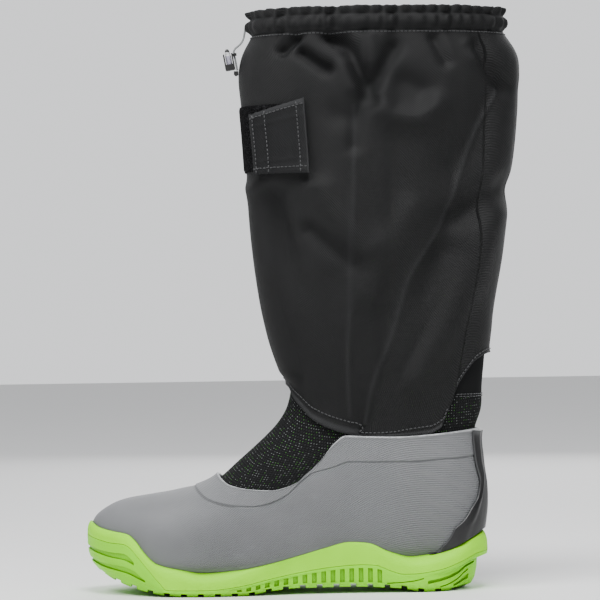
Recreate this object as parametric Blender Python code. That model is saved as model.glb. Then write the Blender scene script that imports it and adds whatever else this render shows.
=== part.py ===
"""Sailing boot, left foot, one shoe.

Metres, +Z up. The toe points to -Y and the outer side of the foot to +X. The
origin is the middle of the heel's flat tread, on the floor. Every soft piece
is an offset of one last surface, so that the pieces nest with even gaps.
"""
import math

import bmesh
import bpy
import numpy as np

# Sole, seen from above
SOLE_LENGTH = 0.301
HEEL_OVERHANG = 0.033
BALL_WIDTH = 0.1085
HEEL_WIDTH = 0.078
# Sole, seen from the side
RAND_HEIGHT = 0.0535
HEEL_STACK = 0.020
TOE_SPRING = 0.0175
ARCH_RISE = 0.0050
# Upper, seen from the side
COLLAR_HEIGHT = 0.116
SEAM_HEIGHT = 0.416
TOP_HEIGHT = 0.434
ANKLE_DEPTH = 0.147
SHAFT_DEPTH = 0.2105
ANKLE_WIDTH = 0.074
SHAFT_WIDTH = 0.108
# Walls
SHELL_WALL = 0.0022
KNIT_WALL = 0.0015
TWILL_WALL = 0.0012
GAP = 0.0003
# Rubber shell
BAND_DROP = 0.0185
BAND_STEP = 0.0006
BAND_SLOPE = 0.0020
COUNTER_WALL = 0.0014
COUNTER_RIB = 0.0009
COUNTER_GAP = 0.0006
# Midsole and insole
LIP_WALL = 0.0016
FLOOR_WALL = 0.0042
RAND_SEAT = 0.0018
SEAT_SLOPE = 0.0015
SHELF_WIDTH = 0.0008
SHELF_SHARE = 0.35
SEAT_DROP = 0.0009
SPUR_FOOT = 0.78
INSOLE_THICKNESS = 0.0040
CUP_ROOM = 0.0020
SOCK_ROOM = 0.0012
# Tread
LUG_PITCH = 0.0125
LUG_NOTCH = 0.0044
TREAD_DEPTH = 0.0024
# Relief in the side of the outsole
TOE_GROOVE_DEPTH = 0.0012
ARCH_SLOT_DEPTH = 0.0012
ARCH_SLOT_PITCH = 0.0069
ARCH_SLOT_WIDTH = 0.0034
HEEL_GROOVE_DEPTH = 0.0014
# Gaiter, its hem and closure
HEM_THICKNESS = 0.0072
HEM_GATHER = 0.0012
PATCH_WALL = 0.0015
FLAP_WALL = 0.0018
FLAP_GAP = 0.0006
# Cord lock
CORD_DIAMETER = 0.0015
LOCK_HEIGHT = 0.0125
LOCK_DEPTH = 0.0074
LOCK_WIDTH = 0.0076
LOCK_BASE = 0.0045
LOCK_TILT = math.radians(10.0)
LOCK_PLACE = (0.1547, 0.3905)
RAIL_WALL = 0.0011
EAR_HEIGHT = 0.0020
EAR_WALL = 0.0007
PLUNGER_RADIUS = 0.0022
PLUNGER_HEIGHT = 0.0125
PLUNGER_REST = 0.0038
BORE_ROOM = 0.0003
TAB_DEPTH = 0.0034
TAB_HEIGHT = 0.0036

COLUMNS = 30
SPACING = 0.35

# A row for each section of the last, from the toe tip to the ankle. The top
# and back points are a station along the sole and a level up the upper.
# Level 0 is the floor, 1 the collar and 2 the seam under the hem; a back
# level of None lies on the footbed. shift and half are shares of the girth,
# waist is where between back and top the section is widest, and round_top
# and round_back say how square it is.
FOOT_SECTIONS = (
    # top_station, top_level, back_station, back_level, shift, half, waist, round_top, round_back
    (0.9865, 0.375, 0.9865, 0.375, -0.074, 0.000, 0.42, 2.3, 2.4),
    (0.9825, 0.474, 0.9767, 0.290, -0.066, 0.088, 0.42, 2.3, 2.6),
    (0.9535, 0.545, 0.9500, 0.222, -0.047, 0.207, 0.40, 2.3, 3.2),
    (0.9070, 0.600, 0.9000, None, -0.031, 0.323, 0.39, 2.3, 4.4),
    (0.8340, 0.634, 0.8210, None, -0.016, 0.415, 0.38, 2.3, 5.0),
    (0.7640, 0.661, 0.7280, None, -0.005, 0.460, 0.38, 2.3, 5.0),
    (0.7080, 0.705, 0.6350, None, 0.009, 0.457, 0.38, 2.2, 5.0),
    (0.6680, 0.763, 0.5350, None, 0.017, 0.436, 0.38, 2.2, 5.0),
    (0.6300, 0.853, 0.4350, None, 0.020, 0.400, 0.38, 2.2, 4.8),
    (0.5910, 0.944, 0.3350, None, 0.016, 0.402, 0.39, 2.2, 4.5),
    (0.5565, 1.010, 0.2360, None, 0.010, 0.425, 0.40, 2.3, 4.2),
    (0.5300, 1.038, 0.1200, None, 0.006, 0.441, 0.40, 2.3, 3.8),
    (0.5110, 1.067, 0.0530, 0.211, 0.000, 0.441, 0.40, 2.4, 3.2),
    (0.5020, 1.093, 0.0216, 0.328, 0.000, 0.441, 0.41, 2.4, 2.8),
    (0.4980, 1.118, 0.0083, 0.500, 0.000, 0.443, 0.42, 2.4, 2.6),
    (0.5015, 1.142, 0.0080, 0.672, 0.000, 0.450, 0.43, 2.4, 2.5),
    (0.5110, 1.167, 0.0180, 0.845, 0.000, 0.460, 0.44, 2.4, 2.4),
)

# A row for each section of the shaft, from the collar to the seam under the
# hem. centre is a station along the sole. depth and width go from 0, the
# ankle's, to 1, the shaft's.
SHAFT_SECTIONS = (
    # front_level, back_level, centre, depth, width, waist
    (1.197, 1.000, 0.2710, 0.060, 0.030, 0.45),
    (1.235, 1.060, 0.2666, 0.213, 0.140, 0.46),
    (1.278, 1.120, 0.2701, 0.277, 0.270, 0.48),
    (1.328, 1.190, 0.2718, 0.361, 0.410, 0.50),
    (1.400, 1.303, 0.2724, 0.458, 0.620, 0.50),
    (1.487, 1.437, 0.2658, 0.614, 0.800, 0.50),
    (1.573, 1.550, 0.2630, 0.710, 0.900, 0.50),
    (1.657, 1.650, 0.2586, 0.809, 0.960, 0.50),
    (1.740, 1.740, 0.2553, 0.888, 1.000, 0.50),
    (1.820, 1.823, 0.2543, 0.953, 1.000, 0.50),
    (1.893, 1.897, 0.2550, 1.000, 1.000, 0.50),
    (1.947, 1.947, 0.2542, 0.925, 0.930, 0.50),
    (2.000, 2.000, 0.2571, 0.640, 0.740, 0.50),
)
SHAFT_ROUND = 2.3
SOCK_TOP = len(FOOT_SECTIONS) + 4
SHAFT_TOP = len(FOOT_SECTIONS) + len(SHAFT_SECTIONS) - 1
PATCH_ROWS = (SHAFT_TOP - 5, SHAFT_TOP - 4, SHAFT_TOP - 3)

# The sole's outline from above, from the toe to the heel. outer and inner
# are shares of the girth at that station.
TOE_TIP = -0.083
SOLE_OUTLINE = (
    # station, outer, inner
    (0.980, 0.111, 0.221),
    (0.934, 0.276, 0.359),
    (0.857, 0.410, 0.470),
    (0.774, 0.475, 0.502),
    (0.681, 0.498, 0.475),
    (0.575, 0.473, 0.425),
    (0.458, 0.473, 0.418),
    (0.342, 0.510, 0.480),
    (0.226, 0.513, 0.487),
    (0.126, 0.494, 0.481),
    (0.060, 0.397, 0.385),
    (0.017, 0.205, 0.205),
)

# Lines seen from the side: a station along the sole and a height, as a share
# of the size named beside each table.
FEATHER_LINE = (
    # station, share of RAND_HEIGHT
    (0.010, 0.822), (0.020, 0.794), (0.077, 0.634), (0.151, 0.516), (0.195, 0.492),
    (0.248, 0.566), (0.302, 0.693), (0.346, 0.710), (0.407, 0.634), (0.468, 0.542),
    (0.542, 0.439), (0.615, 0.363), (0.706, 0.329), (0.762, 0.374), (0.818, 0.449),
    (0.847, 0.589), (0.871, 0.768), (0.890, 0.852), (0.931, 0.890), (0.963, 0.927),
    (0.985, 0.990),
)
PARTING_LINE = (
    # station, share of RAND_HEIGHT
    (0.000, 0.530), (0.023, 0.514), (0.077, 0.394), (0.126, 0.303), (0.195, 0.254),
    (0.215, 0.254), (0.244, 0.299), (0.285, 0.385), (0.322, 0.394), (0.395, 0.366),
    (0.469, 0.305), (0.542, 0.228), (0.616, 0.136), (0.690, 0.092), (0.760, 0.090),
    (0.797, 0.098), (0.811, 0.180), (0.859, 0.495), (0.888, 0.677), (0.903, 0.720),
    (0.932, 0.729), (0.968, 0.766), (0.997, 0.809),
)
TREAD_LINE = (
    # station, share of TOE_SPRING, share of ARCH_RISE
    (0.060, 0.00, 0.00), (0.153, 0.00, 0.00), (0.226, 0.00, 0.64), (0.346, 0.00, 1.00),
    (0.468, 0.00, 0.96), (0.542, 0.00, 0.56), (0.608, 0.00, 0.00), (0.748, 0.00, 0.00),
    (0.797, 0.05, 0.00), (0.837, 0.15, 0.00), (0.884, 0.35, 0.00), (0.945, 0.70, 0.00),
    (0.977, 1.00, 0.00), (1.000, 1.35, 0.00),
)
FOOTBED_LINE = (
    # station, share of HEEL_STACK
    (0.000, 1.15), (0.060, 1.02), (0.130, 1.00), (0.350, 0.92), (0.500, 0.76),
    (0.640, 0.65), (0.760, 0.67), (0.840, 0.80), (0.900, 1.00), (0.950, 1.22),
    (1.000, 1.45),
)
COLLAR_LINE = (
    # station, share of COLLAR_HEIGHT
    (-0.200, 1.035), (0.027, 1.027), (0.121, 1.008), (0.219, 0.993), (0.292, 0.996),
    (0.353, 1.003), (0.378, 0.960), (0.421, 0.822), (0.453, 0.741), (0.503, 0.678),
    (0.534, 0.662), (0.589, 0.670), (0.638, 0.697), (0.669, 0.762), (0.700, 0.900),
    (0.760, 1.200),
)
HEM_LINE = (
    # station, level of the gaiter's lower edge
    (-0.150, 1.204), (-0.010, 1.200), (0.024, 1.183), (0.049, 1.154), (0.071, 1.122),
    (0.094, 1.073), (0.117, 1.017), (0.180, 0.985), (0.300, 0.985), (0.353, 1.006),
    (0.385, 1.016), (0.414, 1.029), (0.439, 1.044), (0.463, 1.071), (0.482, 1.096),
    (0.492, 1.121), (0.510, 1.133), (0.600, 1.145),
)
COUNTER_EDGE = (
    # share of the way up, station, level
    (0.00, 0.148, 0.238), (0.12, 0.116, 0.294), (0.25, 0.086, 0.402), (0.40, 0.048, 0.516),
    (0.52, 0.029, 0.600), (0.65, 0.024, 0.690), (0.80, 0.034, 0.800), (0.92, 0.039, 0.910),
    (1.00, 0.039, 1.010),
)
COUNTER_RIBS = (
    # share of the way from the edge to the centre back, share of COUNTER_RIB
    (0.00, 0.00), (0.13, 0.30), (0.27, 0.60), (0.42, 1.00), (0.56, 0.10), (0.70, 0.25),
    (0.85, 1.00), (1.00, 0.60),
)

# How far the sole's side lies inside its outline, as shares of the inset
# named in the column's heading, going up from the tread to the parting line.
TOE_INSET = 0.0130
SIDE_INSET = 0.0030
HEEL_INSET = 0.0200
OUTSOLE_PROFILE = (
    # share of the height, toe, side, heel
    (0.00, 1.00, 1.00, 1.00),
    (0.12, 0.62, 0.42, 0.64),
    (0.30, 0.27, 0.12, 0.50),
    (0.55, 0.07, 0.02, 0.43),
    (0.78, 0.01, 0.00, 0.41),
    (0.90, 0.00, 0.00, 0.03),
    (1.00, 0.00, 0.05, 0.00),
)
MIDSOLE_PROFILE = (
    # share of the height, blend from the outline to the lip
    (0.00, 0.00),
    (0.45, 0.10),
    (0.85, 0.55),
    (1.00, 1.00),
)

# Relief in the outsole's side. Stations along it, then the lower and upper
# edges as shares of its height there.
TOE_GROOVES = (
    # station, lower_1, upper_1, lower_2, upper_2
    (1.000, 0.360, 0.450, 0.660, 0.745),
    (0.970, 0.350, 0.450, 0.655, 0.760),
    (0.930, 0.355, 0.480, 0.650, 0.780),
    (0.895, 0.340, 0.480, 0.640, 0.790),
    (0.872, 0.345, 0.500, 0.660, 0.720),
    (0.845, 0.400, 0.440, None, None),
)
HEEL_GROOVES = (
    # front_station, front_share, back_station, back_share, width_front, width_back
    (0.155, 0.50, 0.012, 0.72, 0.16, 0.05),
    (0.256, 0.24, 0.165, 0.72, 0.07, 0.06),
    (0.125, 0.22, 0.030, 0.56, 0.05, 0.05),
    (0.085, 0.22, 0.026, 0.36, 0.10, 0.14),
)
ARCH_PANEL = (0.262, 0.640)

# The closure flap's corners, seen from the outer side: top front, top back,
# bottom back and bottom front.
FLAP_CORNERS = (
    # station, level
    (0.569, 1.799),
    (0.440, 1.834),
    (0.428, 1.650),
    (0.557, 1.652),
)
FLAP_CELLS = 4
PATCH_REACH = (11, 9)

# The hem's channel, as shares of its thickness outwards and its height
# upwards, and how far the gathers push each point.
HEM_PROFILE = (
    # outwards, upwards, gather
    (0.02, 0.03, 0.0),
    (0.30, 0.25, 0.7),
    (0.42, 0.58, 1.0),
    (0.30, 0.85, 1.0),
    (0.00, 1.00, 0.6),
    (-0.36, 0.80, -0.6),
    (-0.50, 0.40, -0.6),
    (-0.20, 0.03, 0.0),
)

# The plunger's turned outline and the ear's outline, as shares of their sizes.
PLUNGER_PROFILE = (
    # radius, height
    (0.88, 0.00),
    (1.00, 0.04),
    (1.00, 0.60),
    (0.86, 0.64),
    (0.86, 0.78),
    (0.74, 0.90),
    (0.40, 0.98),
)
PLUNGER_SIDES = 14

# The cord leaves the hem's front and falls towards the lock's ear. Points are
# along and up.
CORD_FALL = (
    (0.1434, 0.4215),
    (0.1441, 0.4170),
    (0.1454, 0.4125),
    (0.1483, 0.4090),
    (0.1510, 0.4069),
)

RUBBER_GREEN = (0.40, 0.90, 0.03)
MIDSOLE_GREEN = (0.47, 0.92, 0.07)
RUBBER_GREY = (0.21, 0.215, 0.22)
RUBBER_BLACK = (0.012, 0.012, 0.013)
KNIT_BLACK = (0.018, 0.019, 0.021)
TWILL_BLACK = (0.010, 0.010, 0.011)
PILE_BLACK = (0.006, 0.006, 0.006)
INSOLE_GREY = (0.05, 0.05, 0.055)
CORD_GREY = (0.16, 0.18, 0.17)
LOCK_BLACK = (0.010, 0.010, 0.010)
LOCK_GREY = (0.45, 0.46, 0.48)


class Curve:
    """A smooth line through a table's rows that never overshoots them."""

    def __init__(self, places, values):
        self.x = np.asarray(places, float)
        self.y = np.asarray(values, float)
        run = np.diff(self.x)
        rise = np.diff(self.y) / run
        slope = np.zeros_like(self.y)
        slope[0], slope[-1] = rise[0], rise[-1]
        for k in range(1, len(self.x) - 1):
            if rise[k - 1] * rise[k] > 0:
                before = 2 * run[k] + run[k - 1]
                after = run[k] + 2 * run[k - 1]
                slope[k] = (before + after) / (before / rise[k - 1] + after / rise[k])
        self.slope = slope

    def __call__(self, place):
        at = np.clip(np.asarray(place, float), self.x[0], self.x[-1])
        k = np.clip(np.searchsorted(self.x, at) - 1, 0, len(self.x) - 2)
        run = self.x[k + 1] - self.x[k]
        t = (at - self.x[k]) / run
        start = (1 + 2 * t) * (1 - t) ** 2 * self.y[k] + t * (1 - t) ** 2 * run * self.slope[k]
        end = t * t * (3 - 2 * t) * self.y[k + 1] + t * t * (t - 1) * run * self.slope[k + 1]
        return start + end


def smooth(t):
    """Goes from 0 to 1 with level ends."""
    t = np.clip(t, 0.0, 1.0)
    return t * t * (3 - 2 * t)


def along_at(station):
    """Distance in front of the origin of a station along the sole."""
    return station * SOLE_LENGTH - HEEL_OVERHANG


def station_at(along):
    return (np.asarray(along) + HEEL_OVERHANG) / SOLE_LENGTH


def height_at(level):
    """Height of a level: 0 the floor, 1 the collar, 2 the seam under the hem."""
    low = np.clip(level, 0.0, 1.0) * COLLAR_HEIGHT
    return low + np.maximum(np.asarray(level) - 1.0, 0.0) * (SEAM_HEIGHT - COLLAR_HEIGHT)


def girth_at(station):
    """Width that the shares across follow: the heel's, then the ball's."""
    return HEEL_WIDTH + (BALL_WIDTH - HEEL_WIDTH) * smooth((np.asarray(station) - 0.30) / 0.32)


def place(along, across, up):
    """A point from its distances forwards, to the outer side and up."""
    return np.stack([across, -np.asarray(along), up], axis=-1)


def side_line(table, size):
    stations, shares = zip(*table)
    line = Curve(stations, np.asarray(shares) * size)
    return lambda along: line(station_at(along))


feather_height = side_line(FEATHER_LINE, RAND_HEIGHT)
parting_height = side_line(PARTING_LINE, RAND_HEIGHT)
footbed_height = side_line(FOOTBED_LINE, HEEL_STACK)
collar_height = side_line(COLLAR_LINE, COLLAR_HEIGHT)
tread_curve = Curve([row[0] for row in TREAD_LINE],
                    [row[1] * TOE_SPRING + row[2] * ARCH_RISE for row in TREAD_LINE])
hem_curve = Curve([row[0] for row in HEM_LINE], height_at([row[1] for row in HEM_LINE]))


def tread_height(along):
    return tread_curve(station_at(along))


def seat_height(along):
    """Top of the outsole under the midsole's floor, always below its edge."""
    floor = footbed_height(along) - FLOOR_WALL - GAP
    return np.minimum(floor, parting_height(along) - SEAT_DROP)


def hem_height(along):
    """Lower edge of the gaiter: it stands on the shell's edge along the side."""
    return np.maximum(hem_curve(station_at(along)), collar_height(along) + GAP)


def section_rows():
    """The last's sections in metres, one row each."""
    rows = []
    for row in FOOT_SECTIONS:
        top_station, top_level, back_station, back_level, shift, half, waist, top, back = row
        girth = float(girth_at((top_station + back_station) / 2))
        back_along = along_at(back_station)
        back_up = footbed_height(back_along) if back_level is None else height_at(back_level)
        rows.append([along_at(top_station), height_at(top_level), back_along, back_up,
                     shift * girth, half * girth, waist, top, back])
    for front_level, back_level, centre, depth, width, waist in SHAFT_SECTIONS:
        reach = (ANKLE_DEPTH + (SHAFT_DEPTH - ANKLE_DEPTH) * depth) / 2
        half = (ANKLE_WIDTH + (SHAFT_WIDTH - ANKLE_WIDTH) * width) / 2
        middle = along_at(centre)
        rows.append([middle + reach, height_at(front_level), middle - reach,
                     height_at(back_level), 0.0, half, waist, SHAFT_ROUND, SHAFT_ROUND])
    return np.array(rows, float)


class Last:
    """The upper's outer surface over a plane whose origin is the toe tip.

    The distance from that origin counts the sections, and the angle goes from
    0 at the front or top line to half a turn at the bottom or back line.
    """

    def __init__(self):
        rows = section_rows()
        mirrored = rows[1].copy()
        mirrored[0:2], mirrored[2:4] = rows[1][2:4], rows[1][0:2]
        mirrored[5] = -rows[1][5]
        beyond = 2 * rows[-1] - rows[-2]
        self.rows = np.vstack([mirrored, rows, beyond])
        self.count = len(rows)

    def sections(self, number):
        number = np.clip(number, 0.0, self.count - 1.0)
        k = np.minimum(number.astype(int), self.count - 2)
        t = (number - k)[..., None]
        a, b, c, d = (self.rows[k + j] for j in range(4))
        return b + t / 2 * (c - a + t * (2 * a - 5 * b + 4 * c - d + t * (3 * (b - c) + d - a)))

    def raw(self, p, q):
        p, q = np.broadcast_arrays(np.asarray(p, float), np.asarray(q, float))
        s = np.hypot(p, q)
        angle = np.arctan2(q, p)
        row = self.sections(s)
        top, back = row[..., 0:2], row[..., 2:4]
        shift, half, waist, round_top, round_back = (row[..., j] for j in range(4, 9))
        power = np.where(np.cos(angle) >= 0, round_top, round_back)
        c, w = np.cos(angle), np.sin(angle)
        reach = (np.abs(c) ** power + np.abs(w) ** power) ** (-1 / power)
        c, w = c * reach, w * reach
        middle = back + (top - back) * waist[..., None]
        arm = np.where((c >= 0)[..., None], top - middle, middle - back)
        side = middle + arm * c[..., None]
        return np.stack([shift + half * w, -side[..., 0], side[..., 1]], axis=-1), middle

    def normal(self, p, q):
        step = 0.02
        du = self.raw(p + step, q)[0] - self.raw(p - step, q)[0]
        dv = self.raw(p, q + step)[0] - self.raw(p, q - step)[0]
        n = np.cross(dv, du)
        return n / np.maximum(np.linalg.norm(n, axis=-1, keepdims=True), 1e-12)

    def at(self, p, q, offset=0.0):
        """Points on the surface, moved outwards by the offset."""
        point = self.raw(p, q)[0]
        return point + self.normal(p, q) * np.asarray(offset, float)[..., None]

    def side(self, p, q):
        """Distances forwards and up of points, as the side view shows them."""
        point = self.raw(p, q)[0]
        return -point[..., 1], point[..., 2]

    def locate(self, along, up, section=SHAFT_TOP - 4.0, angle=1.2):
        """Find where the side view's point lies on the outer side."""
        s, a = section, angle
        for _ in range(40):
            x, z = self.side(s * math.cos(a), s * math.sin(a))
            xs, zs = self.side((s + 0.01) * math.cos(a), (s + 0.01) * math.sin(a))
            xa, za = self.side(s * math.cos(a + 0.01), s * math.sin(a + 0.01))
            m = np.array([[xs - x, xa - x], [zs - z, za - z]]) / 0.01
            move = np.linalg.lstsq(m, np.array([along - x, up - z]), rcond=1e-6)[0]
            s = float(np.clip(s + np.clip(move[0], -1.0, 1.0), 0.5, SHAFT_TOP))
            a = float(np.clip(a + np.clip(move[1], -0.3, 0.3), 0.02, math.pi - 0.02))
        return s * math.cos(a), s * math.sin(a)


LAST = Last()


def spacing(count):
    """Shares along a half loop, closer together at the toe and the heel."""
    u = np.linspace(0.0, 1.0, count + 1)
    return u - SPACING * np.sin(2 * np.pi * u) / (2 * np.pi)


def resample(points, shares, *arrays):
    """Values of the arrays at shares of the length of a line of points."""
    steps = np.linalg.norm(np.diff(points, axis=0), axis=1)
    length = np.concatenate([[0.0], np.cumsum(steps)])
    return [np.interp(shares, length / length[-1], values) for values in arrays]


class Loop:
    """A closed line on the last, symmetric in the plane of its sections."""

    def __init__(self, p, q):
        self.p = np.concatenate([p, p[-2:0:-1]])
        self.q = np.concatenate([q, -q[-2:0:-1]])

    def blend(self, other, share):
        mixed = object.__new__(Loop)
        share = np.asarray(share, float)
        mixed.p = self.p + (other.p - self.p) * share
        mixed.q = self.q + (other.q - self.q) * share
        return mixed

    def ring(self, offset):
        return LAST.at(self.p, self.q, np.broadcast_to(offset, self.p.shape))


def level_loop(height, lowest=0.0, highest=None):
    """The loop where the last crosses a line drawn in the side view."""
    highest = SHAFT_TOP if highest is None else highest

    def above(s, angle):
        along, up = LAST.side(s * np.cos(angle), s * np.sin(angle))
        return up - height(along)

    scan = np.linspace(lowest + 0.02, highest, 800)
    crossed = (above(scan, 0.0) >= 0) & (above(scan, math.pi) <= 0)
    first, final = np.flatnonzero(crossed)[[0, -1]]
    start = edge_of(above, scan[max(first - 1, 0)], scan[first])
    end = edge_of(above, scan[min(final + 1, len(scan) - 1)], scan[final])
    turn = np.linspace(0.0, math.pi, 361)
    s = start + (end - start) * (1 - np.cos(turn)) / 2
    low, high = np.zeros_like(s), np.full_like(s, math.pi)
    for _ in range(50):
        middle = (low + high) / 2
        over = above(s, middle) >= 0
        low, high = np.where(over, middle, low), np.where(over, high, middle)
    angle = (low + high) / 2
    angle[0] = 0.0 if angle[1] < math.pi / 2 else math.pi
    angle[-1] = math.pi
    p, q = s * np.cos(angle), s * np.sin(angle)
    p, q = resample(LAST.at(p, q), spacing(COLUMNS), p, q)
    q[0] = q[-1] = 0.0
    return Loop(p, q)


def edge_of(above, outside, inside):
    """The section where a level line meets the last's top or bottom line."""
    for _ in range(50):
        middle = (outside + inside) / 2
        if above(middle, 0.0) >= 0 and above(middle, math.pi) <= 0:
            inside = middle
        else:
            outside = middle
    return inside


def section_loop(number):
    """The loop of one section of the last."""
    angle = np.linspace(0.0, math.pi, 361)
    p, q = number * np.cos(angle), number * np.sin(angle)
    p, q = resample(LAST.at(p, q), spacing(COLUMNS), p, q)
    q[0] = q[-1] = 0.0
    return Loop(p, q)


def drop_loop(upper, lower, drop):
    """A loop that lies a given length of surface below another."""
    start, share = upper.ring(0.0), np.full(upper.p.shape, 0.1)
    for _ in range(12):
        reach = np.linalg.norm(upper.blend(lower, share).ring(0.0) - start, axis=1)
        share = share * np.clip(drop / np.maximum(reach, 1e-6), 0.3, 3.0)
    return upper.blend(lower, np.minimum(share, 0.9))


def hem_shares(collar, sock_top):
    """How far up from the collar each column of the gaiter starts."""
    low, high = np.zeros(collar.p.shape), np.ones(collar.p.shape)
    for _ in range(50):
        middle = (low + high) / 2
        at = collar.blend(sock_top, middle)
        along, up = LAST.side(at.p, at.q)
        under = up < hem_height(along)
        low, high = np.where(under, middle, low), np.where(under, high, middle)
    return high


def sole_outline():
    """The sole's outline: forwards, to the outer side, and its normal."""
    halves = []
    for column in (1, 2):
        side = 1 if column == 1 else -1
        rows = [(1.0, TOE_TIP * BALL_WIDTH)]
        for row in SOLE_OUTLINE:
            rows.append((row[0], side * row[column] * float(girth_at(row[0]))))
        rows.append((0.0, 0.0))
        halves.append([(along_at(station), across) for station, across in rows])
    closed = halves[0] + halves[1][-2:0:-1]
    points = np.array(closed)
    dense = []
    for k in range(len(points)):
        a, b, c, d = (points[(k + j - 1) % len(points)] for j in range(4))
        for t in np.linspace(0.0, 1.0, 24, endpoint=False):
            dense.append(b + t / 2 * (c - a + t * (2 * a - 5 * b + 4 * c - d
                                                   + t * (3 * (b - c) + d - a))))
    dense = np.array(dense)
    heel = (len(halves[0]) - 1) * 24
    outer, inner = dense[:heel + 1], np.vstack([dense[heel:], dense[:1]])[::-1]
    loop = []
    for half in (outer, inner):
        loop.append(np.stack(resample(half, spacing(COLUMNS), half[:, 0], half[:, 1]), axis=1))
    line = np.vstack([loop[0], loop[1][-2:0:-1]])
    ahead = np.roll(line, -1, axis=0) - np.roll(line, 1, axis=0)
    normal = np.stack([-ahead[:, 1], ahead[:, 0]], axis=1)
    normal /= np.linalg.norm(normal, axis=1, keepdims=True)
    outward = np.sign(np.sum(normal * (line - line.mean(axis=0)), axis=1, keepdims=True))
    return line, normal * outward


OUTLINE, OUTWARD = sole_outline()
TOE_SHARE = smooth(OUTWARD[:, 0] / 0.85)
HEEL_SHARE = smooth(-OUTWARD[:, 0] / 0.85)


def outsole_inset(share):
    """How far the outsole's side lies inside the outline at a share of its height."""
    heights = [row[0] for row in OUTSOLE_PROFILE]
    toe, side, heel = (np.interp(share, heights, [row[j] for row in OUTSOLE_PROFILE])
                       for j in (1, 2, 3))
    middle = 1 - TOE_SHARE - HEEL_SHARE
    return toe * TOE_INSET * TOE_SHARE + heel * HEEL_INSET * HEEL_SHARE + side * SIDE_INSET * middle


def outsole_ring(share, out=0.0):
    """Points round the outsole's side at a share of its height."""
    foot = OUTLINE - OUTWARD * outsole_inset(0.0)[:, None]
    low = tread_height(foot[:, 0])
    high = parting_height(OUTLINE[:, 0])
    plan = OUTLINE + OUTWARD * (out - outsole_inset(share))[:, None]
    return place(plan[:, 0], plan[:, 1], low + (high - low) * share)


def seat_rings(lift, push):
    """The step from the outsole's upper edge down to its seat."""
    rim_inset = RAND_SEAT + outsole_inset(1.0)
    under = np.maximum(outsole_inset(SPUR_FOOT) - outsole_inset(1.0), 0.0)
    shelf_inset = rim_inset + under + SHELF_WIDTH
    edge = parting_height(OUTLINE[:, 0])
    low = tread_height(OUTLINE[:, 0] - OUTWARD[:, 0] * outsole_inset(0.0))
    floor = seat_height(OUTLINE[:, 0] - OUTWARD[:, 0] * outsole_inset(0.0))
    skin = outsole_inset(np.clip((floor - low) / (edge - low), 0.0, 1.0))
    seat_inset = np.maximum(shelf_inset + SEAT_SLOPE, skin + 2 * RAND_SEAT)
    floor = seat_height(OUTLINE[:, 0] - OUTWARD[:, 0] * (seat_inset + push))
    shelf = edge + (floor - edge) * SHELF_SHARE
    rings = []
    for inset, up in ((rim_inset, edge), (shelf_inset, shelf), (seat_inset, floor)):
        plan = OUTLINE - OUTWARD * (inset + push)[:, None]
        rings.append(place(plan[:, 0], plan[:, 1], up + lift))
    return rings


def new_object(name, bm, material, smooth_faces=True):
    """Make an object of a bmesh, with its faces pointing out."""
    bmesh.ops.recalc_face_normals(bm, faces=bm.faces)
    mesh = bpy.data.meshes.new(name)
    bm.to_mesh(mesh)
    bm.free()
    if smooth_faces:
        mesh.shade_smooth()
        mesh.set_sharp_from_angle(angle=math.radians(35))
    mesh.materials.append(material)
    obj = bpy.data.objects.new(name, mesh)
    bpy.context.collection.objects.link(obj)
    return obj


def finish(name, colour, roughness, metallic=0.0):
    """A plain material with the piece's colour and gloss."""
    material = bpy.data.materials.new(name)
    material.use_nodes = True
    shader = material.node_tree.nodes["Principled BSDF"]
    shader.inputs["Base Color"].default_value = (*colour, 1.0)
    shader.inputs["Roughness"].default_value = roughness
    shader.inputs["Metallic"].default_value = metallic
    return material


def add_faces(bm, a, b, c, d, turned=False):
    """Two triangles over four corners, so that facing walls fold alike."""
    if turned:
        bm.faces.new((a, b, d))
        bm.faces.new((b, c, d))
    else:
        bm.faces.new((a, b, c))
        bm.faces.new((a, c, d))


def join_rings(bm, rings, turned=(), closed=False):
    """Bridge rings of points; closed joins the last ring to the first."""
    rows = [[bm.verts.new(point) for point in ring] for ring in rings]
    pairs = list(zip(rows, rows[1:]))
    if closed:
        pairs.append((rows[-1], rows[0]))
    count = len(rows[0])
    for number, (low, high) in enumerate(pairs):
        for k in range(count):
            m = (k + 1) % count
            add_faces(bm, low[k], low[m], high[m], high[k], number in turned)
    return rows


def cap_across(bm, row, height, cells):
    """Close a ring round the sole with strips from the outer to the inner side."""
    count = len(row)
    strips = [[row[0]] * (cells + 1)]
    for k in range(1, count // 2):
        outer, inner = row[k], row[count - k]
        strip = [outer]
        for j in range(1, cells):
            point = outer.co.lerp(inner.co, j / cells)
            point.z = height(-point.y)
            strip.append(bm.verts.new(point))
        strips.append(strip + [inner])
    strips.append([row[count // 2]] * (cells + 1))
    for before, after in zip(strips, strips[1:]):
        for j in range(cells):
            corners = []
            for vert in (before[j], before[j + 1], after[j + 1], after[j]):
                if vert not in corners:
                    corners.append(vert)
            if len(corners) == 4:
                add_faces(bm, *corners)
            else:
                bm.faces.new(corners)


def tube(name, outside, inside, material):
    """A wall open at both ends, from rings going up outside and down inside."""
    bm = bmesh.new()
    rings = [*outside, *inside]
    join_rings(bm, rings, turned=range(len(outside), len(rings) - 1), closed=True)
    return new_object(name, bm, material)


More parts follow.
